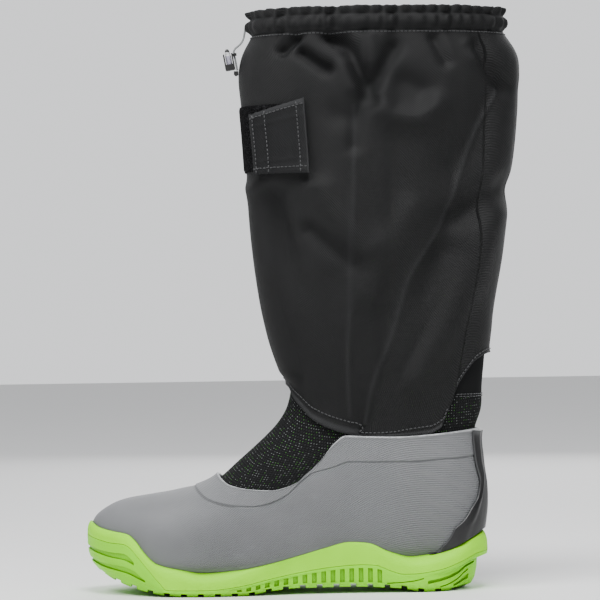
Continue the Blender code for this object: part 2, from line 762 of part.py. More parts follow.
def patch_solid(name, outer, inner, material):
    """A closed panel between two grids of points of the same shape."""
    bm = bmesh.new()
    grids = []
    for grid in (outer, inner):
        grids.append([[bm.verts.new(point) for point in line] for line in grid])
    rows, cols = len(outer), len(outer[0])
    for grid in grids:
        for i in range(rows - 1):
            for j in range(cols - 1):
                add_faces(bm, grid[i][j], grid[i][j + 1], grid[i + 1][j + 1], grid[i + 1][j])
    rim = [(0, j) for j in range(cols)] + [(i, cols - 1) for i in range(1, rows)]
    rim += [(rows - 1, j) for j in range(cols - 2, -1, -1)]
    rim += [(i, 0) for i in range(rows - 2, 0, -1)]
    for (i, j), (m, n) in zip(rim, rim[1:] + rim[:1]):
        bm.faces.new((grids[0][i][j], grids[0][m][n], grids[1][m][n], grids[1][i][j]))
    return new_object(name, bm, material)


FEATHER = level_loop(feather_height)
LOW = level_loop(lambda along: footbed_height(along) + CUP_ROOM)
COLLAR = level_loop(collar_height)
SOCK = section_loop(SOCK_TOP)
BAND = drop_loop(COLLAR, FEATHER, BAND_DROP)
BAND_FOOT = drop_loop(COLLAR, FEATHER, BAND_DROP + BAND_SLOPE)
CUP = LOW.blend(FEATHER, 0.5)
SIDES = [FEATHER.blend(BAND_FOOT, share) for share in (0.25, 0.5, 0.75)]


def make_shell(material):
    """Moulded rubber lower: a bare collar band stands out round its top."""
    outside = [loop.ring(0.0) for loop in (LOW, CUP, FEATHER, *SIDES, BAND_FOOT)]
    outside += [BAND.ring(BAND_STEP), BAND.blend(COLLAR, 0.55).ring(BAND_STEP)]
    outside.append(COLLAR.ring(BAND_STEP / 2))
    inside = [COLLAR, BAND_FOOT, *SIDES[::-1], FEATHER, CUP, LOW]
    return tube("shell", outside, [loop.ring(-SHELL_WALL) for loop in inside], material)


def knit_tube(name, loops, rooms, material):
    """A knitted wall inside the shell's, with more room at some of its loops."""
    outer = [-SHELL_WALL - GAP - room for room in rooms]
    return tube(name, [loop.ring(offset) for loop, offset in zip(loops, outer)],
                [loop.ring(offset - KNIT_WALL) for loop, offset in zip(loops[::-1], outer[::-1])],
                material)


def make_bootie(material):
    """Knitted sock's neck, from inside the shell's edge up into the gaiter."""
    neck = [COLLAR.blend(SOCK, share) for share in (0.14, 0.28, 0.42, 0.56)]
    rooms = [0.0, SOCK_ROOM / 2] + [SOCK_ROOM] * len(neck)
    return knit_tube("bootie", [BAND_FOOT, COLLAR, *neck], rooms, material)


def make_bootie_foot(material):
    """Knitted sock's foot inside the shell, open underneath."""
    loops = [LOW, CUP, FEATHER, *SIDES]
    rooms = [SOCK_ROOM / 4] + [SOCK_ROOM] * (len(loops) - 1)
    return knit_tube("bootie_foot", loops, rooms, material)


def gaiter_rings():
    """Rings of the gaiter from its lower edge to the seam under the hem."""
    start = hem_shares(COLLAR, SOCK)
    rings = []
    for share in (0.0, 0.2, 0.4, 0.7):
        loop = COLLAR.blend(SOCK, start + (1 - start) * share)
        sink = SHELL_WALL - TWILL_WALL
        rings.append((loop, SOCK_TOP - 3 + 3 * share, -sink * (1 - smooth(share / 0.7))))
    top = section_loop(SHAFT_TOP)
    for section in range(SOCK_TOP, SHAFT_TOP + 1):
        share = (section - SOCK_TOP) / (SHAFT_TOP - SOCK_TOP)
        rings.append((SOCK.blend(top, share), section, 0.0))
    return rings


def make_gaiter(material):
    """Twill shaft, scalloped at its foot and gathered into the hem above."""
    rings = gaiter_rings()
    outer = [loop.ring(sink) for loop, _, sink in rings]
    inner = [loop.ring(sink - TWILL_WALL) for loop, _, sink in rings]
    return tube("gaiter", outer, inner[::-1], material)


def make_hem(material):
    """Gathered channel round the top, with the cord inside it."""
    top = section_loop(SHAFT_TOP)
    base = top.ring(0.0)
    outward = LAST.normal(top.p, top.q)
    outward[:, 2] = 0.0
    outward /= np.linalg.norm(outward, axis=1, keepdims=True)
    wave = np.where(np.arange(len(base)) % 2 == 0, 1.0, -1.0) * HEM_GATHER
    height = TOP_HEIGHT - SEAM_HEIGHT
    rings = []
    rim = 1 + max(range(len(HEM_PROFILE)), key=lambda k: HEM_PROFILE[k][1])
    for out, up, gather in HEM_PROFILE:
        ring = base + outward * (out * HEM_THICKNESS + gather * wave * 0.5)[:, None]
        ring[:, 2] = SEAM_HEIGHT + GAP + up * (height - GAP)
        rings.append(ring)
    return tube("hem_channel", rings[:rim], rings[rim:], material)


def make_patch(material):
    """Loop pile patch round the front of the shaft, under the flap."""
    rings = {section: loop for loop, section, _ in gaiter_rings()}
    count = 2 * COLUMNS
    picks = [k % count for k in range(-PATCH_REACH[1], PATCH_REACH[0] + 1)]
    outer, inner = [], []
    for section in PATCH_ROWS:
        outer.append(rings[section].ring(GAP + PATCH_WALL)[picks])
        inner.append(rings[section].ring(GAP)[picks])
    return patch_solid("loop_patch", outer, inner, material)


def make_flap(material):
    """Closure flap pressed onto the patch at the shaft's outer side."""
    corners = [np.array([along_at(station), height_at(level)]) for station, level in FLAP_CORNERS]
    low = GAP + PATCH_WALL + FLAP_GAP
    grids = ([], [])
    for i in range(FLAP_CELLS + 1):
        v = i / FLAP_CELLS
        left = corners[0] + (corners[3] - corners[0]) * v
        right = corners[1] + (corners[2] - corners[1]) * v
        lines = ([], [])
        for j in range(FLAP_CELLS + 1):
            spot = left + (right - left) * j / FLAP_CELLS
            p, q = LAST.locate(spot[0], spot[1])
            for line, offset in zip(lines, (low + FLAP_WALL, low)):
                line.append(LAST.at(p, q, offset))
        for grid, line in zip(grids, lines):
            grid.append(line)
    return patch_solid("strap_tab", grids[0], grids[1], material)


def half_line(loop):
    """Plane coordinates along the outer half of a loop, by share of length."""
    p, q = loop.p[:COLUMNS + 1], loop.q[:COLUMNS + 1]
    return lambda share: np.stack([np.interp(share, spacing(COLUMNS), p),
                                   np.interp(share, spacing(COLUMNS), q)], axis=-1)


def nearest_share(line, target):
    shares = np.linspace(0.5, 1.0, 401)
    return shares[np.argmin(np.linalg.norm(line(shares) - target, axis=1))]


def make_counter(material):
    """Glossy heel counter over the shell, with two ribs up the backstay."""
    edge = [np.array(LAST.locate(along_at(row[1]), height_at(row[2]), 14.0, 2.6))
            for row in COUNTER_EDGE]
    shares = [row[0] for row in COUNTER_EDGE]
    foot = FEATHER.blend(COLLAR, 0.042)
    head = COLLAR.blend(FEATHER, 0.006)
    low_line, high_line = half_line(foot), half_line(head)
    low_edge, high_edge = nearest_share(low_line, edge[0]), nearest_share(high_line, edge[-1])
    ribs = [row[0] for row in COUNTER_RIBS]
    outer, inner = [], []
    for share, rim in zip(shares, edge):
        half = []
        for w, rib in COUNTER_RIBS:
            low = low_line(low_edge + (1 - low_edge) * w)
            high = high_line(high_edge + (1 - high_edge) * w)
            spot = low + (high - low) * share
            ends = (low_line(low_edge), high_line(high_edge))
            bend = rim - (ends[0] + (ends[1] - ends[0]) * share)
            hold = min(share, 1 - share) > 0
            half.append(spot + bend * (1 - w) * hold)
        plane = np.array(half + [point * (1, -1) for point in half[-2::-1]])
        rib = np.array([row[1] for row in COUNTER_RIBS] + [row[1] for row in COUNTER_RIBS[-2::-1]])
        clear = COUNTER_GAP + BAND_STEP * smooth((share - 0.5) / 0.2)
        outer.append(LAST.at(plane[:, 0], plane[:, 1], clear + COUNTER_WALL + rib * COUNTER_RIB))
        inner.append(LAST.at(plane[:, 0], plane[:, 1], np.full(len(plane), clear)))
    return patch_solid("heel_counter", outer, inner, material)


def make_midsole(material):
    """Foam cup that holds the shell, its wavy lip at the feather line."""
    bm = bmesh.new()
    cup = [loop.ring(GAP) for loop in (LOW, CUP, FEATHER)]
    floor = LOW.ring(GAP)
    floor[:, 2] = footbed_height(-floor[:, 1])
    lip = FEATHER.ring(GAP + LIP_WALL)
    base = parting_height(OUTLINE[:, 0]) + GAP
    skin = []
    for share, blend in MIDSOLE_PROFILE[::-1]:
        plan = OUTLINE - OUTWARD * outsole_inset(1.0)[:, None]
        plan = plan + (np.stack([-lip[:, 1], lip[:, 0]], axis=1) - plan) * blend
        skin.append(place(plan[:, 0], plan[:, 1], base + (lip[:, 2] - base) * share))
    rows = join_rings(bm, [floor, *cup, *skin, *seat_rings(GAP, GAP)])
    cap_across(bm, rows[0], footbed_height, 2)
    cap_across(bm, rows[-1], lambda along: seat_height(along) + GAP, 2)
    return new_object("midsole", bm, material)


def make_insole(material):
    """Footbed inside the bootie, on the midsole's floor."""
    bm = bmesh.new()
    inner = LOW.ring(-SHELL_WALL - GAP - KNIT_WALL)
    plan = np.stack([-inner[:, 1], inner[:, 0]], axis=1)
    middle = plan.mean(axis=0)
    ahead = np.roll(plan, -1, axis=0) - np.roll(plan, 1, axis=0)
    normal = np.stack([-ahead[:, 1], ahead[:, 0]], axis=1)
    normal /= np.linalg.norm(normal, axis=1, keepdims=True)
    normal *= np.sign(np.sum(normal * (plan - middle), axis=1, keepdims=True))
    plan = plan - normal * 2 * GAP
    rings = []
    for up in (GAP, GAP + INSOLE_THICKNESS):
        rings.append(place(plan[:, 0], plan[:, 1], footbed_height(plan[:, 0]) + up))
    rows = join_rings(bm, rings)
    cap_across(bm, rows[0], lambda along: footbed_height(along) + GAP, 2)
    cap_across(bm, rows[-1], lambda along: footbed_height(along) + GAP + INSOLE_THICKNESS, 2)
    return new_object("insole", bm, material)


def add_hexahedron(bm, low, high):
    """A closed block between two loops of four points."""
    a = [bm.verts.new(point) for point in low]
    b = [bm.verts.new(point) for point in high]
    bm.faces.new(a[::-1])
    bm.faces.new(b)
    for k in range(4):
        m = (k + 1) % 4
        bm.faces.new((a[k], a[m], b[m], b[k]))


def skin_point(station, side, share, out):
    """A point of the outsole's side from its station, side and height share."""
    ring = outsole_ring(share, out)
    half = slice(0, COLUMNS + 1)
    picks = np.arange(len(ring))[half]
    if side < 0:
        picks = np.concatenate([[0], np.arange(2 * COLUMNS - 1, COLUMNS - 1, -1)])
    along = OUTLINE[picks, 0][::-1]
    target = along_at(station)
    return np.array([np.interp(target, along, ring[picks, j][::-1]) for j in range(3)])


def relief_blocks(bm, edges, side, depth):
    """Blocks that sink a groove between rows of station, lower and upper share."""
    for (s0, low0, high0), (s1, low1, high1) in zip(edges, edges[1:]):
        corners = ((s0, low0), (s1, low1), (s1, high1), (s0, high0))
        inside = [skin_point(s, side, share, -depth) for s, share in corners]
        outside = [skin_point(s, side, share, depth) for s, share in corners]
        add_hexahedron(bm, inside, outside)


def relief_strip(bm, edges, side, depth):
    """One closed block along a groove, from rows of station, low and high share."""
    rows = []
    for station, low, high in edges:
        rows.append([bm.verts.new(skin_point(station, side, share, out))
                     for share, out in ((low, -depth), (low, depth), (high, depth), (high, -depth))])
    for before, after in zip(rows, rows[1:]):
        for k in range(4):
            m = (k + 1) % 4
            bm.faces.new((before[k], before[m], after[m], after[k]))
    bm.faces.new(rows[0][::-1])
    bm.faces.new(rows[-1])


def toe_strip(bm, low_column, high_column):
    """One groove round the toe, from the inner side to the outer one."""
    rows = [row for row in TOE_GROOVES[::-1] if row[low_column] is not None]
    stations = [row[0] for row in rows]
    low = np.interp(station_at(OUTLINE[:, 0]), stations, [row[low_column] for row in rows])
    high = np.interp(station_at(OUTLINE[:, 0]), stations, [row[high_column] for row in rows])
    picks = [k for k in range(-COLUMNS, COLUMNS) if station_at(OUTLINE[k, 0]) >= stations[0]]
    sides = [outsole_ring(share, out) for share, out in (
        (low, -TOE_GROOVE_DEPTH), (low, TOE_GROOVE_DEPTH),
        (high, TOE_GROOVE_DEPTH), (high, -TOE_GROOVE_DEPTH))]
    verts = [[bm.verts.new(ring[k]) for ring in sides] for k in picks]
    for before, after in zip(verts, verts[1:]):
        for k in range(4):
            m = (k + 1) % 4
            bm.faces.new((before[k], before[m], after[m], after[k]))
    bm.faces.new(verts[0][::-1])
    bm.faces.new(verts[-1])


def side_cutter():
    """Toe grooves, arch slots and slanted heel grooves in the outsole's side."""
    bm = bmesh.new()
    for columns in ((1, 2), (3, 4)):
        toe_strip(bm, *columns)
    start, end = (along_at(station) for station in ARCH_PANEL)
    count = int((end - start) / ARCH_SLOT_PITCH)
    for side in (1, -1):
        for k in range(count):
            along = start + (k + 0.5) * ARCH_SLOT_PITCH
            height = parting_height(along) - tread_height(along)
            low = (TREAD_DEPTH + 0.0012) / height
            high = 1 - 0.0022 / height
            if high - low < 0.12:
                continue
            edges = [(float(station_at(along + d)), low, high)
                     for d in (-ARCH_SLOT_WIDTH / 2, ARCH_SLOT_WIDTH / 2)]
            relief_blocks(bm, edges, side, ARCH_SLOT_DEPTH)
        for front, front_share, back, back_share, wide_front, wide_back in HEEL_GROOVES:
            edges = []
            for t in np.linspace(0.0, 1.0, 6):
                station = front + (back - front) * t
                share = front_share + (back_share - front_share) * t
                wide = wide_front + (wide_back - wide_front) * t
                edges.append((station, share - wide / 2, share + wide / 2))
            relief_strip(bm, edges, side, HEEL_GROOVE_DEPTH)
    return cutter("side_relief", bm)


def cutter(name, bm):
    """A guide object that only cuts."""
    bmesh.ops.recalc_face_normals(bm, faces=bm.faces)
    mesh = bpy.data.meshes.new(name)
    bm.to_mesh(mesh)
    bm.free()
    obj = bpy.data.objects.new(name, mesh)
    bpy.context.collection.objects.link(obj)
    obj.hide_render = True
    obj.display_type = "WIRE"
    return obj


def cut(obj, tool, operation="DIFFERENCE"):
    modifier = obj.modifiers.new(tool.name, "BOOLEAN")
    modifier.operation = operation
    modifier.object = tool
    modifier.solver = "EXACT"


def lug_cutter():
    """Notches across the tread, between the lugs."""
    bm = bmesh.new()
    half = BALL_WIDTH * 0.7
    front, back = along_at(0.985), along_at(0.012)
    first = -math.floor((0.5 * LUG_PITCH - back) / LUG_PITCH)
    count = int((front - back) / LUG_PITCH) + 1
    for k in range(count):
        along = (first + k - 0.5) * LUG_PITCH
        if not back < along < front:
            continue
        lows, highs = [], []
        for d, side in ((-1, -1), (-1, 1), (1, 1), (1, -1)):
            at = along + d * LUG_NOTCH / 2
            floor = float(tread_height(at))
            lows.append((side * half, -at, floor - TREAD_DEPTH))
            highs.append((side * half, -at, floor + TREAD_DEPTH))
        add_hexahedron(bm, lows, highs)
    return cutter("lug_notches", bm)


def make_outsole(material):
    """Rubber outsole: toe guard, ribbed arch, barred heel and tread lugs."""
    bm = bmesh.new()
    skin = [outsole_ring(row[0]) for row in OUTSOLE_PROFILE[::-1]]
    rows = join_rings(bm, [*seat_rings(0.0, 0.0)[::-1], *skin], turned=(0, 1))
    cap_across(bm, rows[0], seat_height, 2)
    cap_across(bm, rows[-1], tread_height, 3)
    obj = new_object("outsole", bm, material)
    cut(obj, lug_cutter())
    cut(obj, side_cutter())
    return obj


def lock_point(forward, across, up):
    """A point of the cord lock, from its own tilted axes."""
    tilt_cos, tilt_sin = math.cos(LOCK_TILT), math.sin(LOCK_TILT)
    along = LOCK_PLACE[0] + np.asarray(forward) * tilt_cos + np.asarray(up) * tilt_sin
    height = LOCK_PLACE[1] - np.asarray(forward) * tilt_sin + np.asarray(up) * tilt_cos
    return place(along, np.broadcast_to(across, np.shape(along)), height)


def lock_cylinder(name, forward, low, high, radius, sides):
    """A guide that bores a round hole along the lock's axis."""
    bm = bmesh.new()
    turn = np.linspace(0.0, 2 * math.pi, sides, endpoint=False)
    rows = [[bm.verts.new(point) for point in
             lock_point(forward + radius * np.cos(turn), radius * np.sin(turn), level)]
            for level in (low, high)]
    for k in range(sides):
        m = (k + 1) % sides
        bm.faces.new((rows[0][k], rows[0][m], rows[1][m], rows[1][k]))
    bm.faces.new(rows[0][::-1])
    bm.faces.new(rows[1])
    return cutter(name, bm)


def extrude_outline(bm, outline, half_width, point_of):
    """A closed block across the boot, from an outline of forward and up."""
    sides = [[bm.verts.new(point_of(forward, across, up)) for forward, up in outline]
             for across in (-half_width, half_width)]
    count = len(outline)
    for k in range(count):
        m = (k + 1) % count
        bm.faces.new((sides[0][k], sides[0][m], sides[1][m], sides[1][k]))
    bm.faces.new(sides[0][::-1])
    bm.faces.new(sides[1])


def cord_place():
    """How far behind the lock's axis the cord runs."""
    return -LOCK_DEPTH / 2 - CORD_DIAMETER / 2 - GAP * 1.5


def cord_route():
    """The cord's points: its fall, then straight down behind the lock."""
    fall = [place(along, 0.0, up) for along, up in CORD_FALL]
    levels = (LOCK_HEIGHT + EAR_HEIGHT / 2, LOCK_HEIGHT / 2, -EAR_HEIGHT / 2)
    points = np.array(fall + [lock_point(cord_place(), 0.0, level) for level in levels])
    steps = np.linalg.norm(np.diff(points, axis=0), axis=1)
    lengths = np.concatenate([[0.0], np.cumsum(steps)])
    spots = np.linspace(0.0, lengths[-1], int(lengths[-1] / (1.4 * CORD_DIAMETER)) + 1)
    lines = [Curve(lengths, points[:, j]) for j in range(3)]
    return np.stack([line(spots) for line in lines], axis=1)


def make_lock(material):
    """Cord lock's frame: a bored base, two rails and an ear for the cord."""
    back, front = -LOCK_DEPTH / 2, LOCK_DEPTH / 2
    slope = RAIL_WALL / 2
    outline = (
        (back, 0.0), (front - slope, 0.0), (front, slope), (front, LOCK_HEIGHT - slope),
        (front - slope, LOCK_HEIGHT), (front - RAIL_WALL, LOCK_HEIGHT),
        (front - RAIL_WALL, LOCK_BASE), (back + RAIL_WALL, LOCK_BASE),
        (back + RAIL_WALL, LOCK_HEIGHT), (back, LOCK_HEIGHT),
    )
    bm = bmesh.new()
    extrude_outline(bm, outline, LOCK_WIDTH / 2, lock_point)
    obj = new_object("lock_housing", bm, material, smooth_faces=False)
    hole = CORD_DIAMETER / 2 + GAP
    middle = cord_place()
    reach = middle - hole - EAR_WALL
    low, high = LOCK_HEIGHT - EAR_HEIGHT * 1.2, LOCK_HEIGHT - EAR_HEIGHT * 0.2
    ear = bmesh.new()
    extrude_outline(ear, ((reach, low), (back + RAIL_WALL / 2, low),
                          (back + RAIL_WALL / 2, high), (reach, high)), hole + EAR_WALL, lock_point)
    cut(obj, cutter("lock_ear", ear), "UNION")
    cut(obj, lock_cylinder("plunger_bore", 0.0, -LOCK_BASE, LOCK_BASE * 1.3,
                           PLUNGER_RADIUS + BORE_ROOM, PLUNGER_SIDES))
    cut(obj, lock_cylinder("cord_hole", middle, low - EAR_HEIGHT, high + EAR_HEIGHT, hole, 10))
    return obj


def make_plunger(material):
    """Spring plunger that slides down in the lock's base."""
    bm = bmesh.new()
    origin = lock_point(0.0, 0.0, PLUNGER_REST)
    turn = np.linspace(0.0, 2 * math.pi, PLUNGER_SIDES, endpoint=False)
    rows = []
    for radius, level in PLUNGER_PROFILE:
        ring = lock_point(PLUNGER_RADIUS * radius * np.cos(turn),
                          PLUNGER_RADIUS * radius * np.sin(turn),
                          PLUNGER_REST + PLUNGER_HEIGHT * level)
        rows.append([bm.verts.new(point - origin) for point in ring])
    for low, high in zip(rows, rows[1:]):
        for k in range(PLUNGER_SIDES):
            m = (k + 1) % PLUNGER_SIDES
            bm.faces.new((low[k], low[m], high[m], high[k]))
    bm.faces.new(rows[0][::-1])
    top = bm.verts.new(lock_point(0.0, 0.0, PLUNGER_REST + PLUNGER_HEIGHT) - origin)
    for k in range(PLUNGER_SIDES):
        bm.faces.new((rows[-1][k], rows[-1][(k + 1) % PLUNGER_SIDES], top))
    obj = new_object("lock_plunger", bm, material)
    obj.location = origin
    return obj


def make_cord_end(material):
    """Rounded tab under the lock, where the cord ends."""
    end = cord_route()[-1]
    along, top = -end[1], end[2] - 2 * GAP
    rear, front = along - CORD_DIAMETER / 2, along - CORD_DIAMETER / 2 + TAB_DEPTH
    low, round_off = top - TAB_HEIGHT, TAB_DEPTH * 0.3
    outline = (
        (rear, low + round_off), (rear + round_off, low), (front - round_off, low),
        (front, low + round_off), (front, top), (rear, top),
    )
    bm = bmesh.new()
    extrude_outline(bm, outline, TAB_DEPTH * 0.55, place)
    return new_object("cord_end", bm, material, smooth_faces=False)


def make_cord(material):
    """Drawcord from the hem to its tab, as a swept line."""
    curve = bpy.data.curves.new("drawcord", "CURVE")
    curve.dimensions = "3D"
    curve.bevel_depth = CORD_DIAMETER / 2
    curve.bevel_resolution = 2
    curve.use_fill_caps = True
    spline = curve.splines.new("POLY")
    route = cord_route()
    spline.points.add(len(route) - 1)
    for spot, point in zip(spline.points, route):
        spot.co = (*point, 1.0)
    curve.materials.append(material)
    obj = bpy.data.objects.new("drawcord", curve)
    bpy.context.collection.objects.link(obj)
    return obj


def main():
    for obj in list(bpy.data.objects):
        bpy.data.objects.remove(obj)
    green = finish("sole rubber", RUBBER_GREEN, 0.45)
    foam = finish("midsole foam", MIDSOLE_GREEN, 0.55)
    grey = finish("shell rubber", RUBBER_GREY, 0.6)
    make_outsole(green)
    make_midsole(foam)
    make_insole(finish("insole foam", INSOLE_GREY, 0.9))
    make_shell(grey)
    knit = finish("knit", KNIT_BLACK, 0.9)
    make_bootie(knit)
    make_bootie_foot(knit)
    twill = finish("twill", TWILL_BLACK, 0.8)
    make_gaiter(twill)
    make_hem(twill)
    make_patch(finish("loop pile", PILE_BLACK, 1.0))
    make_flap(finish("flap twill", TWILL_BLACK, 0.8))
    make_counter(finish("counter rubber", RUBBER_BLACK, 0.25))
    make_lock(finish("lock plastic", LOCK_BLACK, 0.4))
    make_plunger(finish("plunger plastic", LOCK_GREY, 0.35))
    black = finish("cord tab plastic", LOCK_BLACK, 0.45)
    make_cord_end(black)
    make_cord(finish("cord", CORD_GREY, 0.8))


main()
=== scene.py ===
"""Looks of a tall sailing boot, left foot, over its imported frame.

Metres, +Z up, toe to -Y, outer side to +X. Every soft piece is an offset of
the same last surface as the solids, at a finer grain, so it lies where its
solid lies.
"""
from __future__ import annotations

import logging
import math
from dataclasses import dataclass
from enum import Enum
from typing import Callable, Sequence

import bmesh
import bpy
import numpy as np
from mathutils import Matrix, Vector

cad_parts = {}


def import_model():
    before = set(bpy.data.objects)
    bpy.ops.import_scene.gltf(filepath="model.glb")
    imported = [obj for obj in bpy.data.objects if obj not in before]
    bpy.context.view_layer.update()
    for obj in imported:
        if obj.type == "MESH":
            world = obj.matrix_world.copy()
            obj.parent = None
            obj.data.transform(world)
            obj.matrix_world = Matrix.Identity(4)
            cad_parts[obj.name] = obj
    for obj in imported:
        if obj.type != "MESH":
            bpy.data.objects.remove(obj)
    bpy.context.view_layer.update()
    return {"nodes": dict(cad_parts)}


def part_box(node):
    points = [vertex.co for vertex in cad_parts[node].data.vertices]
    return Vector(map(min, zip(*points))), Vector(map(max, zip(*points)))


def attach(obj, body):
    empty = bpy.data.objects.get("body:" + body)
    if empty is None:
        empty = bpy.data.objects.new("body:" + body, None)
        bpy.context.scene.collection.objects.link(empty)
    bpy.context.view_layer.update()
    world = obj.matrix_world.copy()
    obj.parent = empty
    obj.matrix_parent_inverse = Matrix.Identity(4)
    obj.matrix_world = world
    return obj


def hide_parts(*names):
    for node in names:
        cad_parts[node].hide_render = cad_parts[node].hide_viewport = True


LOG = logging.getLogger("sailing_boot")
Array = np.ndarray
Thing = bpy.types.Object
Mesh = bpy.types.Mesh
BMesh = bmesh.types.BMesh
Material = bpy.types.Material
NodeTree = bpy.types.NodeTree
Socket = bpy.types.NodeSocket
Colour = tuple[float, float, float]
BODY = "boot"

# Sole, seen from above
SOLE_LENGTH = 0.301
HEEL_OVERHANG = 0.033
BALL_WIDTH = 0.1085
HEEL_WIDTH = 0.078
# Sole, seen from the side
RAND_HEIGHT = 0.0535
HEEL_STACK = 0.020
TOE_SPRING = 0.0175
ARCH_RISE = 0.0050
# Upper, seen from the side
COLLAR_HEIGHT = 0.116
SEAM_HEIGHT = 0.416
TOP_HEIGHT = 0.434
ANKLE_DEPTH = 0.147
SHAFT_DEPTH = 0.2105
ANKLE_WIDTH = 0.074
SHAFT_WIDTH = 0.108
# Walls
SHELL_WALL = 0.0022
KNIT_WALL = 0.0015
TWILL_WALL = 0.0012
STITCH_LIFT = 0.0003
FLAP_STITCH_LIFT = 0.0002
GAP = 0.0003
# Rubber shell
BAND_DROP = 0.0185
BAND_STEP = 0.0006
BAND_SLOPE = 0.0020
COUNTER_WALL = 0.0014
COUNTER_RIB = 0.0009
COUNTER_GAP = 0.0006
# Midsole and insole
LIP_WALL = 0.0016
FLOOR_WALL = 0.0042
RAND_SEAT = 0.0018
SEAT_SLOPE = 0.0015
SHELF_WIDTH = 0.0008
SHELF_SHARE = 0.35
SEAT_DROP = 0.0009
SPUR_FOOT = 0.78
CUP_ROOM = 0.0020
SOCK_ROOM = 0.0012
# Tread
LUG_PITCH = 0.0125
LUG_NOTCH = 0.0044
TREAD_DEPTH = 0.0024
# Relief in the side of the outsole
TOE_GROOVE_DEPTH = 0.0012
ARCH_SLOT_DEPTH = 0.0012
ARCH_SLOT_PITCH = 0.0069
ARCH_SLOT_WIDTH = 0.0034
SLOT_FOOT_ROOM = 0.0012
SLOT_HEAD_ROOM = 0.0022
SLOT_LEAST = 0.12
HEEL_GROOVE_STEPS = 6
HEEL_GROOVE_DEPTH = 0.0014
# Gaiter, its hem and closure
HEM_THICKNESS = 0.0072
PATCH_WALL = 0.0015
FLAP_WALL = 0.0018
FLAP_GAP = 0.0006

# Grain: columns of half a loop here and in the solids, and how finely lines
# are walked and places are searched for
COLUMNS = 120
COARSE_COLUMNS = 30
SPACING = 0.35
HALVINGS = 50
SCAN_STEPS = 800
TURN_STEPS = 721
DROP_ROUNDS = 12
FOLD_STEPS = 25
OUTLINE_STEPS = 24
SEARCH_ROUNDS = 40
SEARCH_STEP = 0.01
NORMAL_STEP = 0.02
HEEL_BACK = 0.02

# A row for each section of the last, from the toe tip to the ankle. The top
# and back points are a station along the sole and a level up the upper.
# Level 0 is the floor, 1 the collar and 2 the seam under the hem; a back
# level of None lies on the footbed. shift and half are shares of the girth,
# waist is where between back and top the section is widest, and round_top
# and round_back say how square it is.
FOOT_SECTIONS = (
    # top_station, top_level, back_station, back_level, shift, half, waist, round_top, round_back
    (0.9865, 0.375, 0.9865, 0.375, -0.074, 0.000, 0.42, 2.3, 2.4),
    (0.9825, 0.474, 0.9767, 0.290, -0.066, 0.088, 0.42, 2.3, 2.6),
    (0.9535, 0.545, 0.9500, 0.222, -0.047, 0.207, 0.40, 2.3, 3.2),
    (0.9070, 0.600, 0.9000, None, -0.031, 0.323, 0.39, 2.3, 4.4),
    (0.8340, 0.634, 0.8210, None, -0.016, 0.415, 0.38, 2.3, 5.0),
    (0.7640, 0.661, 0.7280, None, -0.005, 0.460, 0.38, 2.3, 5.0),
    (0.7080, 0.705, 0.6350, None, 0.009, 0.457, 0.38, 2.2, 5.0),
    (0.6680, 0.763, 0.5350, None, 0.017, 0.436, 0.38, 2.2, 5.0),
    (0.6300, 0.853, 0.4350, None, 0.020, 0.400, 0.38, 2.2, 4.8),
    (0.5910, 0.944, 0.3350, None, 0.016, 0.402, 0.39, 2.2, 4.5),
    (0.5565, 1.010, 0.2360, None, 0.010, 0.425, 0.40, 2.3, 4.2),
    (0.5300, 1.038, 0.1200, None, 0.006, 0.441, 0.40, 2.3, 3.8),
    (0.5110, 1.067, 0.0530, 0.211, 0.000, 0.441, 0.40, 2.4, 3.2),
    (0.5020, 1.093, 0.0216, 0.328, 0.000, 0.441, 0.41, 2.4, 2.8),
    (0.4980, 1.118, 0.0083, 0.500, 0.000, 0.443, 0.42, 2.4, 2.6),
    (0.5015, 1.142, 0.0080, 0.672, 0.000, 0.450, 0.43, 2.4, 2.5),
    (0.5110, 1.167, 0.0180, 0.845, 0.000, 0.460, 0.44, 2.4, 2.4),
)

# A row for each section of the shaft, from the collar to the seam under the
# hem. centre is a station along the sole. depth and width go from 0, the
# ankle's, to 1, the shaft's.
SHAFT_SECTIONS = (
    # front_level, back_level, centre, depth, width, waist
    (1.197, 1.000, 0.2710, 0.060, 0.030, 0.45),
    (1.235, 1.060, 0.2666, 0.213, 0.140, 0.46),
    (1.278, 1.120, 0.2701, 0.277, 0.270, 0.48),
    (1.328, 1.190, 0.2718, 0.361, 0.410, 0.50),
    (1.400, 1.303, 0.2724, 0.458, 0.620, 0.50),
    (1.487, 1.437, 0.2658, 0.614, 0.800, 0.50),
    (1.573, 1.550, 0.2630, 0.710, 0.900, 0.50),
    (1.657, 1.650, 0.2586, 0.809, 0.960, 0.50),
    (1.740, 1.740, 0.2553, 0.888, 1.000, 0.50),
    (1.820, 1.823, 0.2543, 0.953, 1.000, 0.50),
    (1.893, 1.897, 0.2550, 1.000, 1.000, 0.50),
    (1.947, 1.947, 0.2542, 0.925, 0.930, 0.50),
    (2.000, 2.000, 0.2571, 0.640, 0.740, 0.50),
)
SHAFT_ROUND = 2.3
SOCK_TOP = len(FOOT_SECTIONS) + 4
SHAFT_TOP = len(FOOT_SECTIONS) + len(SHAFT_SECTIONS) - 1
PATCH_ROWS = (SHAFT_TOP - 5, SHAFT_TOP - 3)

# The sole's outline from above, from the toe to the heel. outer and inner
# are shares of the girth at that station.
TOE_TIP = -0.083
SOLE_OUTLINE = (
    # station, outer, inner
    (0.980, 0.111, 0.221),
    (0.934, 0.276, 0.359),
    (0.857, 0.410, 0.470),
    (0.774, 0.475, 0.502),
    (0.681, 0.498, 0.475),
    (0.575, 0.473, 0.425),
    (0.458, 0.473, 0.418),
    (0.342, 0.510, 0.480),
    (0.226, 0.513, 0.487),
    (0.126, 0.494, 0.481),
    (0.060, 0.397, 0.385),
    (0.017, 0.205, 0.205),
)

